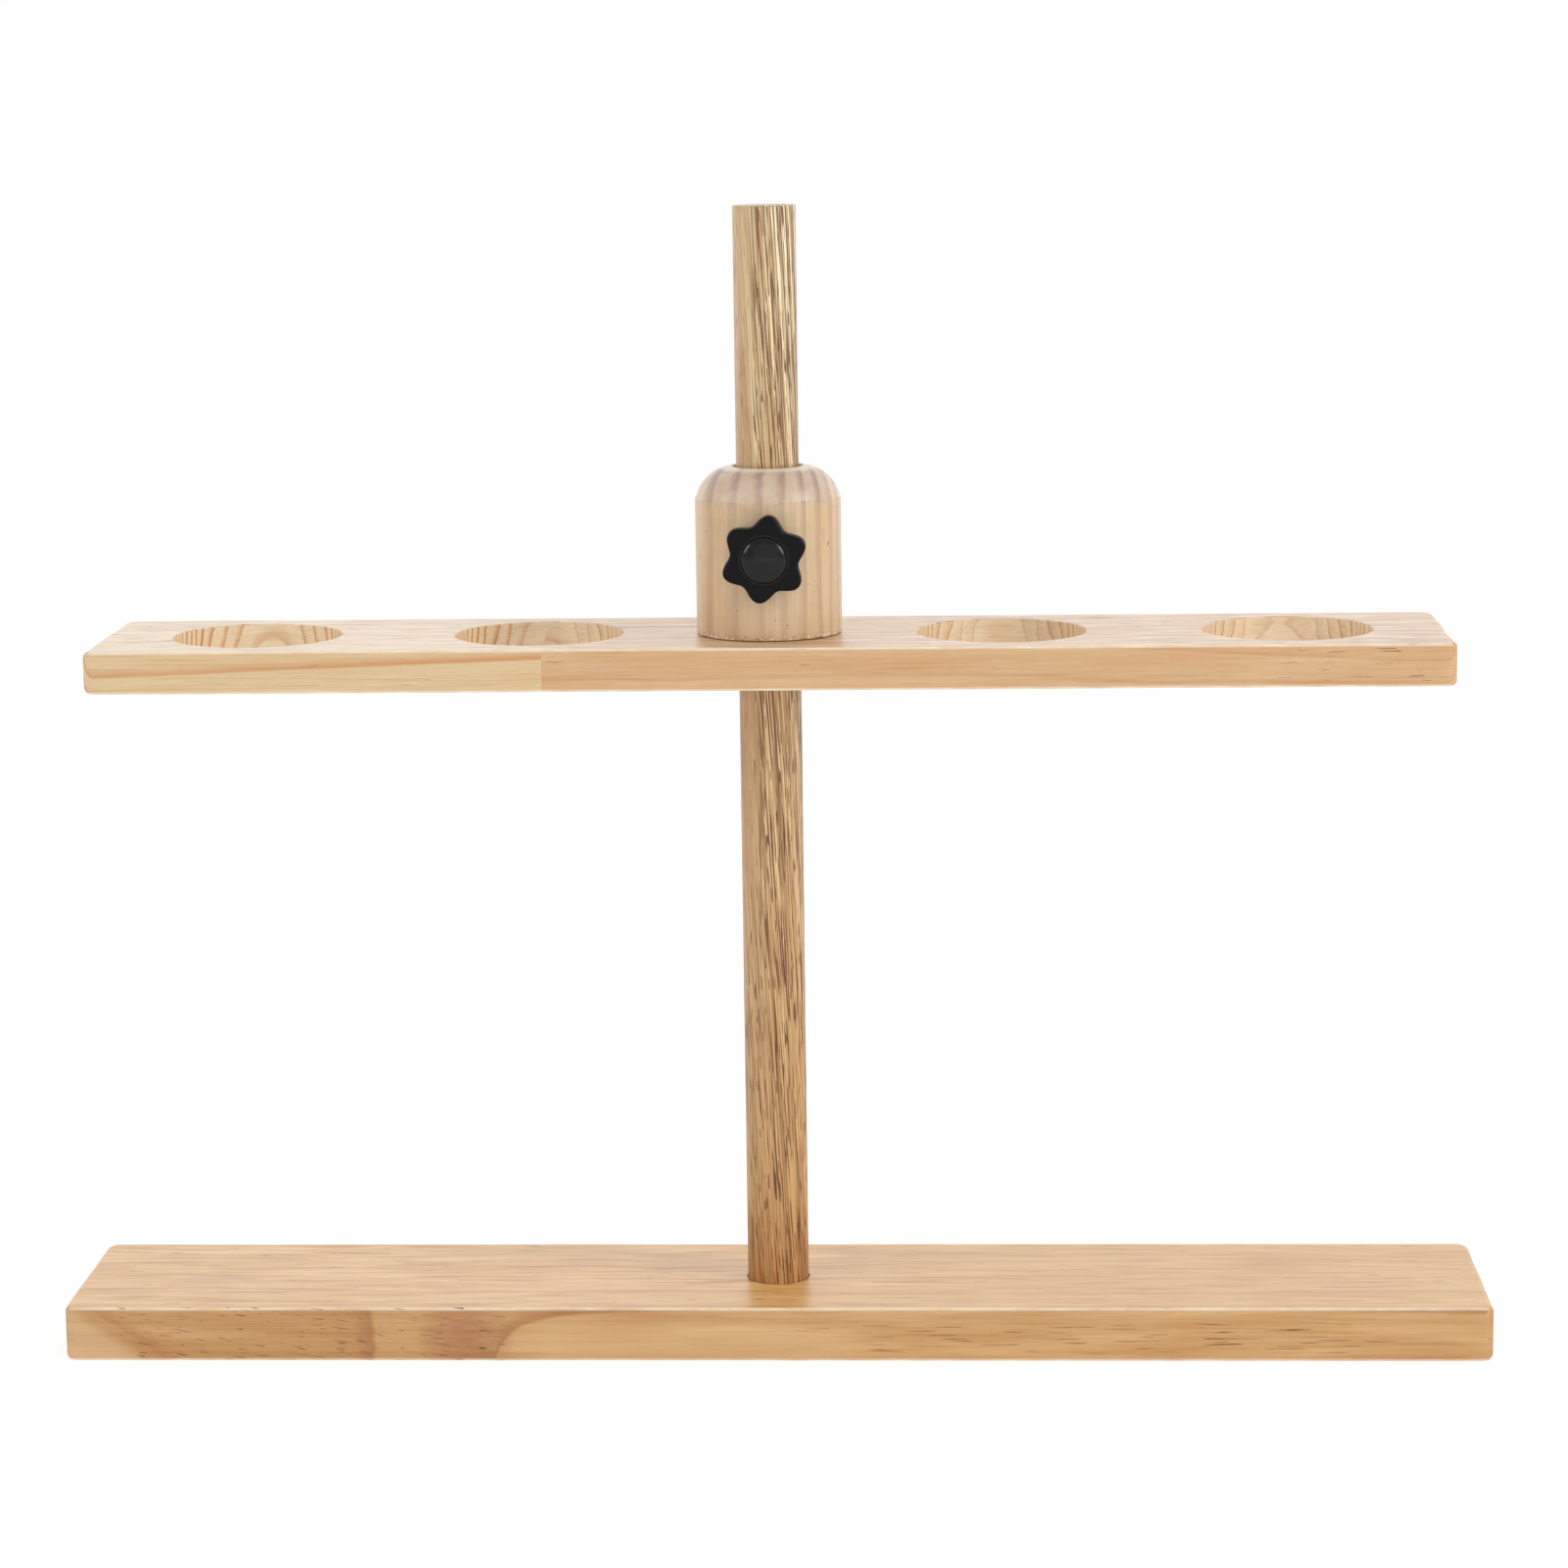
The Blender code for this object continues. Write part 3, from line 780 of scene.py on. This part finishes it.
def grain(g, wood, along, across, detail, roughness=0.5, shift=0.0):
    """Noise drawn out along the fibres, and a little into a board."""
    if wood.along == "X":
        place = g.vector(g.x / along, g.y / (across * 2.5) + wood.seed + shift, g.z / across)
    else:
        place = g.vector(g.x / across + wood.seed + shift, g.y / across, g.z / along)
    return g.noise(place, detail, roughness)


def ring_lines(g, wood, rings, mottle):
    """Each ring darkens softly, then in a band, and ends sharply."""
    part = g.math("FRACT", rings)
    start, full = wood.band
    soft = wood.soft * g.step(part, 0.18, start) * (1 + 0.5 * mottle)
    band = g.step(part, start, full) ** 1.4
    return (soft + (1 - wood.soft) * band) * g.step(part, 1.0, wood.fall)


def fibre_shade(g, wood, streak, fibre, cut_across):
    """The brightness of fine pale and dark lines, which show most on an upward face."""
    dark_line = g.step(grain(g, wood, 32, 0.55, 1.0, shift=9.0), 0.25, 0.7)
    pale_line = g.step(grain(g, wood, 26, 0.6, 1.0, shift=17.0), 0.25, 0.7)
    lines = 0.06 * streak + 0.06 * pale_line - 0.13 * dark_line
    lines = wood.lines * (lines * (1 + 1.6 * g.upward) + 0.08 * fibre)
    return 1 + lines * (1 - 0.5 * cut_across) - 0.05 * cut_across


def pine(name, wood, ring_rule, marks_rule, cut_rule=None):
    """Planed softwood: growth rings, drawn-out fibres, a piece's own marks and a satin finish."""
    g = Graph(name)
    board = wood.along == "X"
    drift = grain(g, wood, 70, 6, 2.0)
    broad = grain(g, wood, 60, 5, 1.0)
    mottle = grain(g, wood, 12, 1.4, 3.0, 0.6)
    streak = grain(g, wood, 34, 0.9, 3.0, 0.6)
    fibre = grain(g, wood, 7, 0.3, 2.0, 0.6)
    cut_across = g.step(g.size(g.facing[0] if board else g.facing[2]), 0.3, 0.9)
    fresh = cut_rule(g) if cut_rule else 0.0

    rings, presence = ring_rule(g, drift)
    ring = ring_lines(g, wood, rings, mottle)
    each = g.noise(g.vector(g.math("FLOOR", rings) * 0.73, wood.seed, 0.0), 0.0)
    if board:
        each = each * g.step(g.y, BASE_LOW.y / MM, BASE_LOW.y / MM + 6)
    strength = wood.ring_strength * (1 + 0.7 * each) * presence
    if board:
        strength = strength * (1 - 0.5 * g.upward)
    end_grain = cut_across * (0.3 + 0.4 * fresh)
    ring_share = g.clamp(ring * (strength * (1 - 0.75 * fresh) + end_grain + 0.3 * fresh))

    colour = g.mix(g.clamp(0.5 + 0.6 * broad), wood.early, wood.tint)
    # Painted light and sheen: upward faces are mixed towards the paler top colour
    colour = g.mix(g.upward * 0.35, colour, wood.top)
    if cut_rule:
        colour = g.mix(fresh * 0.65, colour, FRESH_CUT)
    colour = g.mix(ring_share, colour, wood.late)
    light = fibre_shade(g, wood, streak, fibre, cut_across)
    # Stained wood is redder where it is darker
    colour = g.shade(colour, light ** 0.65, light, light ** 2.2)
    colour, ducts = marks_rule(g, colour)
    colour = g.mix(g.clamp(ducts * 0.95), colour, DUCT_COLOUR)
    height = 0.5 + 0.2 * fibre + 0.1 * streak + 0.08 * ring - 0.5 * ducts
    roughness = 0.44 + 0.05 * fibre + 0.04 * streak - 0.05 * ring + 0.1 * cut_across
    return g.finish(colour, roughness, height, 0.05, Coat_Weight=0.5, Coat_Roughness=0.36)


def worn_edges_and_highlight(g, low, high, colour):
    """Sanding leaves the long edges of a board a little paler, and the pale line is also a painted
    highlight along them.
    """
    middle, reach = (low + high) / 2 / MM, (high - low) / 2 / MM
    level = g.size(g.z - middle.z) - reach.z
    side = g.size(g.y - middle.y) - reach.y
    wear_and_highlight = 0.7 + 0.3 * g.patches(11, 3, 3)
    # Painted highlight as well as wear: the long edges are mixed paler where they catch the light
    share = g.step(level, -1.0, -0.3) * g.step(side, -1.1, -0.3) * wear_and_highlight
    return g.mix(g.clamp(share), colour, RUBBED_AND_HIGHLIGHT)


# The base board, in millimetres. The rings arch round a bump in the grain on its front.
# A span is (start, full, fade, end), as Nodes.window takes it.

ARCH_X = -165
ARCH_FOOT = 1
ARCH_LEFT = 34
ARCH_RIGHT = 75
ARCH_LEAN = 1.47
LEFT_RING = 36
RIGHT_RING = 38
RIGHT_RING_HEIGHT = 27
CREST_BEND = 5.3
DEEP_RING = 6.5
PATCH_X = -100
PATCH_Z = 8
BROWN_SPAN = (-215, -150, -120, -108)
DUCT_SPAN = (-222, -205, -92, -80)
STREAK_SPAN = (-20, 50, 190, 205)
STREAK_HEIGHTS = (1.5, 3.5, 11, 14)


def base_rings(g, drift):
    """Ring planes almost parallel to the front face, which they cut in an arch."""
    depth = g.y - BASE_LOW.y / MM
    top = BASE_HIGH.z / MM
    reach = g.size(g.x - ARCH_X)
    left = 1 + (reach - ARCH_LEFT - ARCH_LEAN * (g.z - ARCH_FOOT)) / LEFT_RING
    past = g.larger(reach - ARCH_RIGHT, 0.0)
    dip = 1.8 * g.step(g.x, 110, 230)
    crest = top * past / (past + CREST_BEND) - dip
    right = 2 + g.smaller((reach - ARCH_RIGHT) / RIGHT_RING, (crest - g.z) / RIGHT_RING_HEIGHT)
    side = g.step(g.x, ARCH_X - 0.5, ARCH_X + 0.5)
    arch = g.larger(g.choose(side, left, right), 0.42)
    on_front = g.step(depth, 1.2, 0.5)
    arch = arch * (0.2 + 0.8 * on_front) * g.step(depth, 60, 0)
    inside = g.step(depth, 0.0, 14.0)
    uneven_rings = g.noise(g.vector(g.x / 200, depth / 18, g.z / 90), 1.0)
    bowed = 0.0035 * (g.z - 3) * (g.z - 3)
    bent = inside * (0.6 * uneven_rings + 0.08 * drift + bowed)
    rings = arch + depth / DEEP_RING + bent + 0.03 * drift
    faint = 0.55 * g.step(g.x, -178, -196) + 0.7 * g.window(g.x, -62, -15, 160, 205)
    return rings, 1 - faint * on_front


def base_patches(g, colour, front):
    """The front's tones: a pale end left of the arch, brown right of it, and a paler foot."""
    beyond = ARCH_X - ARCH_LEFT - g.x - ARCH_LEAN * (g.z - ARCH_FOOT)
    colour = g.mix(g.step(beyond, 2, 9) * front * 0.4, colour, tone(236, 202, 158))
    along_arch = g.step(g.size(beyond), 13, 0) * 0.35
    within_arch = g.window(g.x, *BROWN_SPAN) * 0.1
    from_patch = ((g.x - PATCH_X) / 15) ** 2 + ((g.z - PATCH_Z) / 11) ** 2
    brown = g.larger(along_arch + within_arch, g.step(from_patch, 1.5, 0.0) * 0.95)
    mottle = g.patches(8, 6, 2.2, 3.0, 0.6)
    colour = g.mix(g.clamp(brown * (0.7 + 0.35 * mottle) * front), colour, tone(176, 114, 70))
    foot = g.step(g.x, -86, -70) * g.step(g.z, 15, 10) * g.step(g.x, 40, 0) * front
    return g.mix(foot * 0.4, colour, tone(232, 192, 142))


def base_marks(g, colour):
    """Toned patches, resin ducts at the left of the front, and fine streaks right and on top."""
    front = g.step(g.y, BASE_LOW.y / MM + 2, BASE_LOW.y / MM + 0.5)
    top = g.upward
    colour = base_patches(g, colour, front)
    smudge = g.step(g.patches(34, 22, 12), 0.1, 1.1) * (0.1 + 0.35 * top)
    colour = g.mix(smudge, colour, tone(186, 130, 68))
    tilted = g.vector(g.x / 6.5, g.y / 0.9, (g.z + 0.12 * g.x) / 0.36)
    ducts = g.step(g.noise(tilted, 0.0), 0.9, 1.02) * g.window(g.x, *DUCT_SPAN) * front
    streaked = g.window(g.x, *STREAK_SPAN) * g.window(g.z, *STREAK_HEIGHTS) * front
    colour = g.mix(g.lines(22, 1.8, 0.42, 0.54, 0.68) * streaked, colour, tone(130, 60, 8))
    colour = g.mix(g.step(g.x, -40, 140) * top * 0.3, colour, tone(198, 144, 52))
    open_grain = g.step(g.noise(g.vector(g.x / 70, g.y / 16, 0.0), 1.0), -0.4, 0.5)
    top_line = g.lines(44, 1.8, 0.6, 0.25, 0.6, 4.0) * top * (0.35 + 0.65 * open_grain)
    colour = g.mix(top_line * 0.65, colour, tone(180, 112, 36))
    top_duct = g.lines(10, 1.2, 0.6, 0.82, 1.0, 8.0) * top * 0.6
    return worn_edges_and_highlight(g, BASE_LOW, BASE_HIGH, colour), g.clamp(ducts + top_duct)


# The shelf's two lengths, in millimetres

LEFT_LINE_Z = 222.7
LEFT_LINE_CLIMB = 0.037
LEFT_LINE_SPAN = (-5, -3, 2.5, 4.5)
RIGHT_LINE_Z = 221.5
CRACK_Y = 13
SECOND_CRACK = 10
CRACK_SPAN = (-54, -46, -22, -14)


def on_hole_walls(g):
    """1 on the walls of the four holes, 0 elsewhere."""
    nearest = None
    for centre in HOLE_CENTRES:
        distance = g.from_axis(g.x - centre.x / MM, g.y - centre.y / MM)
        nearest = g.smaller(nearest, distance) if nearest else distance
    rim = HOLE_TOP_RADIUS / MM
    return g.step(nearest, rim + 0.35, rim + 0.1)


def shelf_left_rings(g, drift):
    """Steep ring planes: fine lines on top, one line climbing slowly along the front."""
    climb = g.z - LEFT_LINE_Z - LEFT_LINE_CLIMB * (g.x - LEFT_LOW.x / MM)
    depth = g.y - LEFT_LOW.y / MM
    uneven_rings = g.noise(g.vector(g.x / 300, depth / 8, g.z / 50), 1.0)
    inside = g.step(depth, 0.0, 9.0)
    rings = depth / 2.5 - climb / 8 + 0.03 * drift + 0.5 * uneven_rings * inside + 4
    front = g.step(depth, 1.2, 0.3)
    one_line = g.window(climb, *LEFT_LINE_SPAN) * (0.75 + 0.25 * g.step(g.x, -160, -90))
    return rings, 1 - front * (1 - one_line)


def shelf_right_rings(g, drift):
    """Steep ring planes whose lines run level along the front."""
    climb = g.z - RIGHT_LINE_Z + 0.004 * (g.x - 60)
    depth = g.y - RIGHT_LOW.y / MM
    uneven_rings = g.noise(g.vector(g.x / 300, depth / 8, g.z / 50), 1.0)
    return depth / 2.4 - climb / 9 + 0.16 * drift + 0.5 * uneven_rings + 6, 1.0


def shelf_marks(g, colour):
    """Long streaks on top, the near-white ones also painted highlights along the fibres, two
    cracks left of the collar, and a few ducts towards the right.
    """
    top = g.upward
    colour = g.mix(g.step(g.x, 150, 200) * top * 0.3, colour, tone(206, 160, 120))
    streaked = top * (0.7 + 0.3 * g.step(g.x, -20, 60))
    # The near-white streaks are also painted highlights along the fibres
    for size, strength, streak_colour in (
        ((36, 2.1, 0.5, 0.25, 0.6, 0.0), 0.75, tone(176, 116, 66)),
        ((36, 2.3, 0.5, 0.25, 0.6, 6.0), 0.45, tone(255, 246, 232)),
        ((11, 1.8, 0.5, 0.6, 0.8, 12.0), 0.8, tone(132, 78, 34)),
    ):
        colour = g.mix(g.lines(*size) * streaked * strength, colour, streak_colour)
    lane = g.y - CRACK_Y + 0.4 * g.noise(g.vector(g.x / 9, g.y / 9, 0.0), 2.0)
    second = 0.5 * g.step(g.size(lane - SECOND_CRACK), 1.4, 0.4)
    crack = g.larger(g.step(g.size(lane), 1.5, 0.5), second)
    crack = crack * (g.window(g.x, *CRACK_SPAN) * top)
    colour = g.mix(crack * 0.9, colour, tone(104, 62, 26))
    present = g.step(g.patches(26, 12, 8, 1.0), 0.35, 0.8) * 0.5 + g.step(g.x, 120, 200) * 0.7
    present = present * (1 - on_hole_walls(g)) * g.step(g.size(g.facing[0]), 0.2, 0.05)
    ducts = g.lines(9, 1.1, 0.45, 0.72, 0.9, 3.0) * present * (1 - 0.4 * top)
    return worn_edges_and_highlight(g, LEFT_LOW, RIGHT_HIGH, colour), g.clamp(ducts)


# The collar. Its side ends in a crease where the shoulder begins.

CREASE = (COLLAR_HIGH.z - SHOULDER_RADIUS * (1 - cos(SHOULDER_ANGLE))) / MM
HEART_X = 2


def collar_rings(g, drift):
    """Rings run down the collar, closing in towards its bore."""
    depth = g.y + COLLAR_RADIUS / MM
    across = (g.x - HEART_X) / (1 - 0.016 * g.smaller(depth, 20.0)) + HEART_X
    wander = g.patches(3, 3, 30)
    rings = 1.97 + 0.128 * across + 0.0011 * across * across + 0.05 * drift + 0.07 * wander + 4
    return rings, 0.75 + 0.6 * g.step(g.z, CREASE - 3, CREASE + 2)


def collar_marks(g, colour):
    """A greyer, blotched shoulder, a painted highlight on the rim, painted shade inside the mouth,
    a torn foot and a few specks.
    """
    low, high = COLLAR_LOW.z / MM, COLLAR_HIGH.z / MM
    shoulder = g.step(g.z, CREASE - 4, CREASE + 4)
    whiter = g.mix(shoulder, tone(255, 255, 255), tone(244, 244, 255))
    colour = g.mix(1.0, colour, whiter, "MULTIPLY")
    colour = g.mix(shoulder * 0.2, colour, tone(216, 206, 204))
    blotch = (0.15 + 0.3 * shoulder) * g.patches(6, 6, 6, 3.0, 0.6)
    colour = g.mix(g.clamp(blotch), colour, tone(170, 132, 112))
    from_axis = g.from_axis(g.x, g.y)
    mouth = MOUTH_RADIUS / MM
    # Painted highlight: a pale band on the rim round the mouth, where it catches the light
    rim = g.step(g.z, high - 1.2, high - 0.3) * g.step(from_axis, mouth, mouth + 0.3)
    colour = g.mix(rim * 0.6, colour, tone(250, 238, 218))
    # Painted shade: all inside the mouth and bore is darkened, where the gap round the post lies
    # in shadow
    inside = g.step(from_axis, mouth, mouth - 0.2)
    colour = g.mix(inside * 0.7, colour, tone(104, 66, 40))
    chips = g.step(g.patches(1.5, 1.5, 0.8, 1.0), 0.3, 0.8) * g.step(g.z, low + 2.2, low + 0.8)
    colour = g.mix(chips * 0.6, colour, tone(150, 104, 62))
    torn = g.step(g.noise(g.vector(g.x / 0.9 + 7, g.y / 0.9, g.z / 1.2), 1.0), 0.35, 0.7)
    torn = torn * g.step(g.z, low + 1.8, low + 0.6)
    colour = g.mix(torn * 0.8, colour, tone(255, 242, 214))
    return colour, g.step(g.patches(1.1, 1.1, 1.8, 0.0), 1.32, 1.4)


# ---------- hardwood, plastic and metal

POST_TWIST = 0.0055
VEIN_Z = 131


def post_material():
    """Open-pored hardwood: dark and pale streaks that wind slowly round the axis, and a vein."""
    g = Graph("post_hardwood")
    twist = g.z * POST_TWIST
    turned_cos, turned_sin = g.math("COSINE", twist), g.math("SINE", twist)
    across = g.x * turned_cos - g.y * turned_sin
    along = g.x * turned_sin + g.y * turned_cos

    def streaks(width, length, seed, detail=0.0):
        place = g.vector(across / width + seed, along / width, g.z / length)
        return g.noise(place, detail)

    low, high = POST_LOW.z / MM, POST_HIGH.z / MM
    climb = (g.z - low) / (high - low)
    colour = g.mix(climb, tone(188, 130, 68), tone(210, 182, 134))
    # Painted sheen: the left side is mixed paler and greyer, for the reflection of the bright
    # surroundings
    colour = g.mix(g.step(g.x, 1, -8) * 0.5, colour, tone(206, 172, 130))
    colour = g.mix(g.step(climb, 0.13, 0.02) * 0.9, colour, tone(172, 98, 30))
    broad = 0.45 + 0.5 * streaks(2.6, 60, 3.0, 2.0)
    colour = g.mix(g.clamp(broad), colour, tone(194, 154, 102))

    open_side = g.step(g.x, -6.5, -1.0) * 0.75 + 0.25
    open_side = g.larger(open_side, 0.8 * g.step(climb, 0.5, 0.3))
    # The pale streaks are partly painted highlights on the ridges of the open pores, which the
    # bump raises too
    long_pale = g.step(streaks(0.55, 110, 19.0), 0.3, 0.55)
    pale = g.larger(g.step(streaks(0.45, 20, 27.0), 0.5, 0.75), long_pale)
    pale = pale * open_side * (0.5 + 0.5 * g.step(climb, 0.0, 0.6))
    cream = g.mix(climb, tone(238, 184, 116), tone(255, 242, 204))
    colour = g.mix(g.clamp(pale * 0.9), colour, cream)

    long_dark = g.step(streaks(0.6, 130, 5.0), 0.35, 0.6) * 0.75
    long_dark = long_dark * (0.55 + 0.45 * g.step(climb, 0.3, 0.6))
    dark = g.larger(g.step(streaks(0.48, 22, 11.0), 0.5, 0.75), long_dark) * open_side
    pores = g.step(streaks(0.45, 8, 33.0), 0.6, 0.8)
    dark = g.larger(dark, pores * (0.4 + 0.6 * open_side))
    colour = g.mix(g.clamp(dark * 0.9), colour, tone(100, 46, 0))

    vein = g.step(g.size(g.x + 0.055 * g.z - 10.8), 2.2, 0.8) * g.step(g.y, 0, -3)
    vein = vein * g.step(g.size(g.z - VEIN_Z), 17, 6)
    vein = vein * g.step(streaks(0.5, 22, 51.0), -0.2, 0.2)
    colour = g.mix(g.clamp(vein * 0.85), colour, tone(116, 50, 30))
    fine = streaks(0.22, 9, 41.0, 1.0)
    light = 1 + 0.07 * fine
    colour = g.shade(colour, light, light, light)
    height = 0.5 + 0.3 * pale - 0.5 * dark + 0.1 * fine
    roughness = 0.44 + 0.15 * dark + 0.05 * fine
    return g.finish(colour, roughness, height, 0.06, Coat_Weight=0.3, Coat_Roughness=0.38)


def plastic_material():
    """Moulded black plastic with a faint orange-peel, glossier on the domed cap."""
    g = Graph("black_plastic")
    peel = g.patches(1.6, 1.6, 1.6)
    grit = g.patches(0.3, 0.3, 0.3)
    cap = g.step(g.from_axis(g.x, g.z - CLAMP_Z / MM), 8.2, 7.2)
    colour = g.mix(g.step(grit, 0.2, 1.2), tone(8, 8, 9), tone(18, 18, 19))
    roughness = 0.4 - 0.22 * cap + 0.05 * peel + 0.04 * grit
    height = 0.5 + 0.2 * peel + 0.06 * grit
    return g.finish(colour, roughness, height, 0.03, Specular_IOR_Level=0.16 + 0.2 * cap)


def metal_material(name, colour, tint, roughness):
    """Plated metal with faint turning marks and stains."""
    g = Graph(name)
    stain = g.patches(2.5, 2.5, 2.5, 3.0)
    marks = g.patches(0.6, 0.6, 0.6)
    shade = g.mix(g.clamp(0.5 + 0.5 * stain), colour, tint)
    return g.finish(shade, roughness + 0.06 * stain, 0.5 + 0.25 * marks, 0.02, Metallic=1.0)


# ---------- the object


def dress(piece, body, node, material):
    """Gives a piece its material and stands it in for a CAD node."""
    piece.data.materials.clear()
    piece.data.materials.append(material)
    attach(piece, body)
    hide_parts(node)


base_pine = Pine(early=tone(202, 150, 88), tint=tone(222, 178, 120), late=tone(164, 96, 36),
                 top=tone(240, 196, 118), ring_strength=0.62, seed=1.5)
left_pine = Pine(early=tone(222, 188, 140), tint=tone(226, 196, 152), late=tone(204, 132, 66),
                 top=tone(236, 220, 194), ring_strength=0.78, soft=0.0, band=(0.45, 0.93),
                 fall=0.93, seed=8.0)
right_pine = Pine(early=tone(214, 168, 118), tint=tone(220, 180, 134), late=tone(192, 132, 86),
                  top=tone(214, 180, 146), ring_strength=0.35, seed=4.0)
collar_pine = Pine(early=tone(226, 198, 160), tint=tone(216, 184, 142), late=tone(166, 120, 90),
                   top=tone(228, 206, 184), ring_strength=0.4, soft=0.0, band=(0.32, 0.74),
                   fall=0.8, lines=0.6, along="Z", seed=6.0)

steel = metal_material("zinc_steel", tone(196, 198, 202), tone(170, 172, 178), roughness=0.32)
brass = metal_material("insert_brass", tone(214, 178, 98), tone(186, 146, 76), roughness=0.3)
left_stave, right_stave = make_shelf_staves()

dress(make_base_board(), "base", "base_board",
      pine("base_pine", base_pine, base_rings, base_marks))
dress(left_stave, "shelf", "shelf_board_left",
      pine("shelf_pine_left", left_pine, shelf_left_rings, shelf_marks, on_hole_walls))
dress(right_stave, "shelf", "shelf_board_right",
      pine("shelf_pine_right", right_pine, shelf_right_rings, shelf_marks, on_hole_walls))
dress(make_collar(), "shelf", "clamp_collar",
      pine("collar_pine", collar_pine, collar_rings, collar_marks))
dress(make_post(), "post", "post", post_material())
dress(make_knob(), "knob", "star_knob", plastic_material())
dress(make_stud(), "clamp_stud", "clamp_stud", steel)
dress(make_insert(), "shelf", "threaded_insert", brass)
dress(make_wood_screw("post_screw"), "post", "post_screw", steel)
for screw_node in COLLAR_SCREWS:
    dress(make_wood_screw(screw_node), "shelf", screw_node, steel)


# ---------- stage, light and camera

AMBIENT = 0.58
BACKDROP = 0.9
FLOOR_GLOW = 0.34
FLOOR_RAISED = 0.02 * MM
FLOOR_REACH = 60
FLOOR_OPENING = BASE_HIGH.xy - Vector((20 * MM, 10 * MM))
FADE_START = 900
FADE_END = 2600
WHITE = (1, 1, 1, 1)
LIGHT_TARGET = Vector((0, 0, 0.2))


def add_floor():
    """A wide pale floor that fades into the background with distance.

    From below it can be seen through. It has an opening under the base, which the base covers,
    so that the underside gets light.
    """
    bm = bmesh.new()
    corners = [(-1, -1), (1, -1), (1, 1), (-1, 1)]
    far_ring = [bm.verts.new((x * FLOOR_REACH, y * FLOOR_REACH, 0)) for x, y in corners]
    near_ring = [bm.verts.new((x * FLOOR_OPENING.x, y * FLOOR_OPENING.y, 0)) for x, y in corners]
    skin(bm, [far_ring, near_ring])
    floor_piece = add_piece("floor", bm)
    floor_piece.location.z = FLOOR_RAISED
    g = Graph("floor_paint")
    to_camera = g.node("LightPath", {}, output="Is Camera Ray")
    height = 0.5 + 0.2 * g.noise(g.vector(g.x / 3, g.y / 3, g.z), 2.0)
    g.finish(tone(250, 250, 250), 0.9, height, 0.02,
             Emission_Color=WHITE, Emission_Strength=to_camera * FLOOR_GLOW)
    painted = Value(g, g.shader.outputs[0])
    glow = g.node("Emission", {"Color": WHITE, "Strength": 1.0})
    far = g.step(g.from_axis(g.x, g.y), FADE_START, FADE_END)
    above = g.node("MixShader", {0: far, 1: painted, 2: glow})
    from_below = g.node("NewGeometry", {}, output="Backfacing")
    nothing = g.node("BsdfTransparent", {})
    seen = g.node("MixShader", {0: from_below, 1: above, 2: nothing})
    g.set_input(g.tree.nodes["Material Output"].inputs["Surface"], seen)
    floor_piece.data.materials.append(g.material)


def add_softbox(name, place, size, power):
    """A rectangular light that faces the object."""
    light = bpy.data.lights.new(name, "AREA")
    light.shape = "RECTANGLE"
    light.size, light.size_y = size
    light.energy = power
    lamp = bpy.data.objects.new(name, light)
    lamp.location = place
    lamp.rotation_euler = (LIGHT_TARGET - Vector(place)).to_track_quat("-Z", "Y").to_euler()
    bpy.context.scene.collection.objects.link(lamp)


def add_world():
    """White to the camera. Its light is even, but brighter low down behind the object."""
    world = bpy.data.worlds.new("white_studio")
    world.use_nodes = True
    bpy.context.scene.world = world
    nodes = Nodes(world.node_tree)
    facing = nodes.split(nodes.node("TexCoord", {}, output="Generated"))
    behind = nodes.step(facing[1], 0.1, 0.8) * nodes.step(facing[2], 0.75, 0.35)
    light = AMBIENT + BACKDROP * behind
    to_camera = nodes.node("LightPath", {}, output="Is Camera Ray")
    background = nodes.tree.nodes["Background"]
    background.inputs["Color"].default_value = WHITE
    nodes.set_input(background.inputs["Strength"], nodes.choose(to_camera, light, 1.0))


def add_camera(place, down, right, roll, lens):
    """Looks level along +Y, then turns right, tilts down and rolls by the given angles."""
    forward = Vector((sin(right) * cos(down), cos(right) * cos(down), -sin(down)))
    level = Vector((cos(right), -sin(right), 0))
    above = level.cross(forward)
    side = level * cos(roll) + above * sin(roll)
    up = above * cos(roll) - level * sin(roll)
    camera = bpy.data.cameras.new("camera")
    camera.sensor_width = 36
    camera.lens = lens
    viewer = bpy.data.objects.new("camera", camera)
    axes = Matrix((side, up, -forward)).transposed().to_4x4()
    viewer.matrix_world = Matrix.Translation(place) @ axes
    bpy.context.scene.collection.objects.link(viewer)
    bpy.context.scene.camera = viewer


add_floor()
add_world()
add_softbox("key", place=(1.5, -0.7, 1.1), size=(0.5, 0.9), power=11)
add_softbox("fill", place=(-1.5, -0.6, 1.1), size=(0.4, 0.8), power=6)
add_softbox("front", place=(0.3, -2.2, 0.9), size=(3.0, 2.0), power=5)
add_camera(place=(0.0611, -1.2834, 0.4122), down=radians(10.16), right=radians(-2.55),
           roll=radians(-0.76), lens=92.95)
bpy.context.scene.view_settings.view_transform = "Standard"
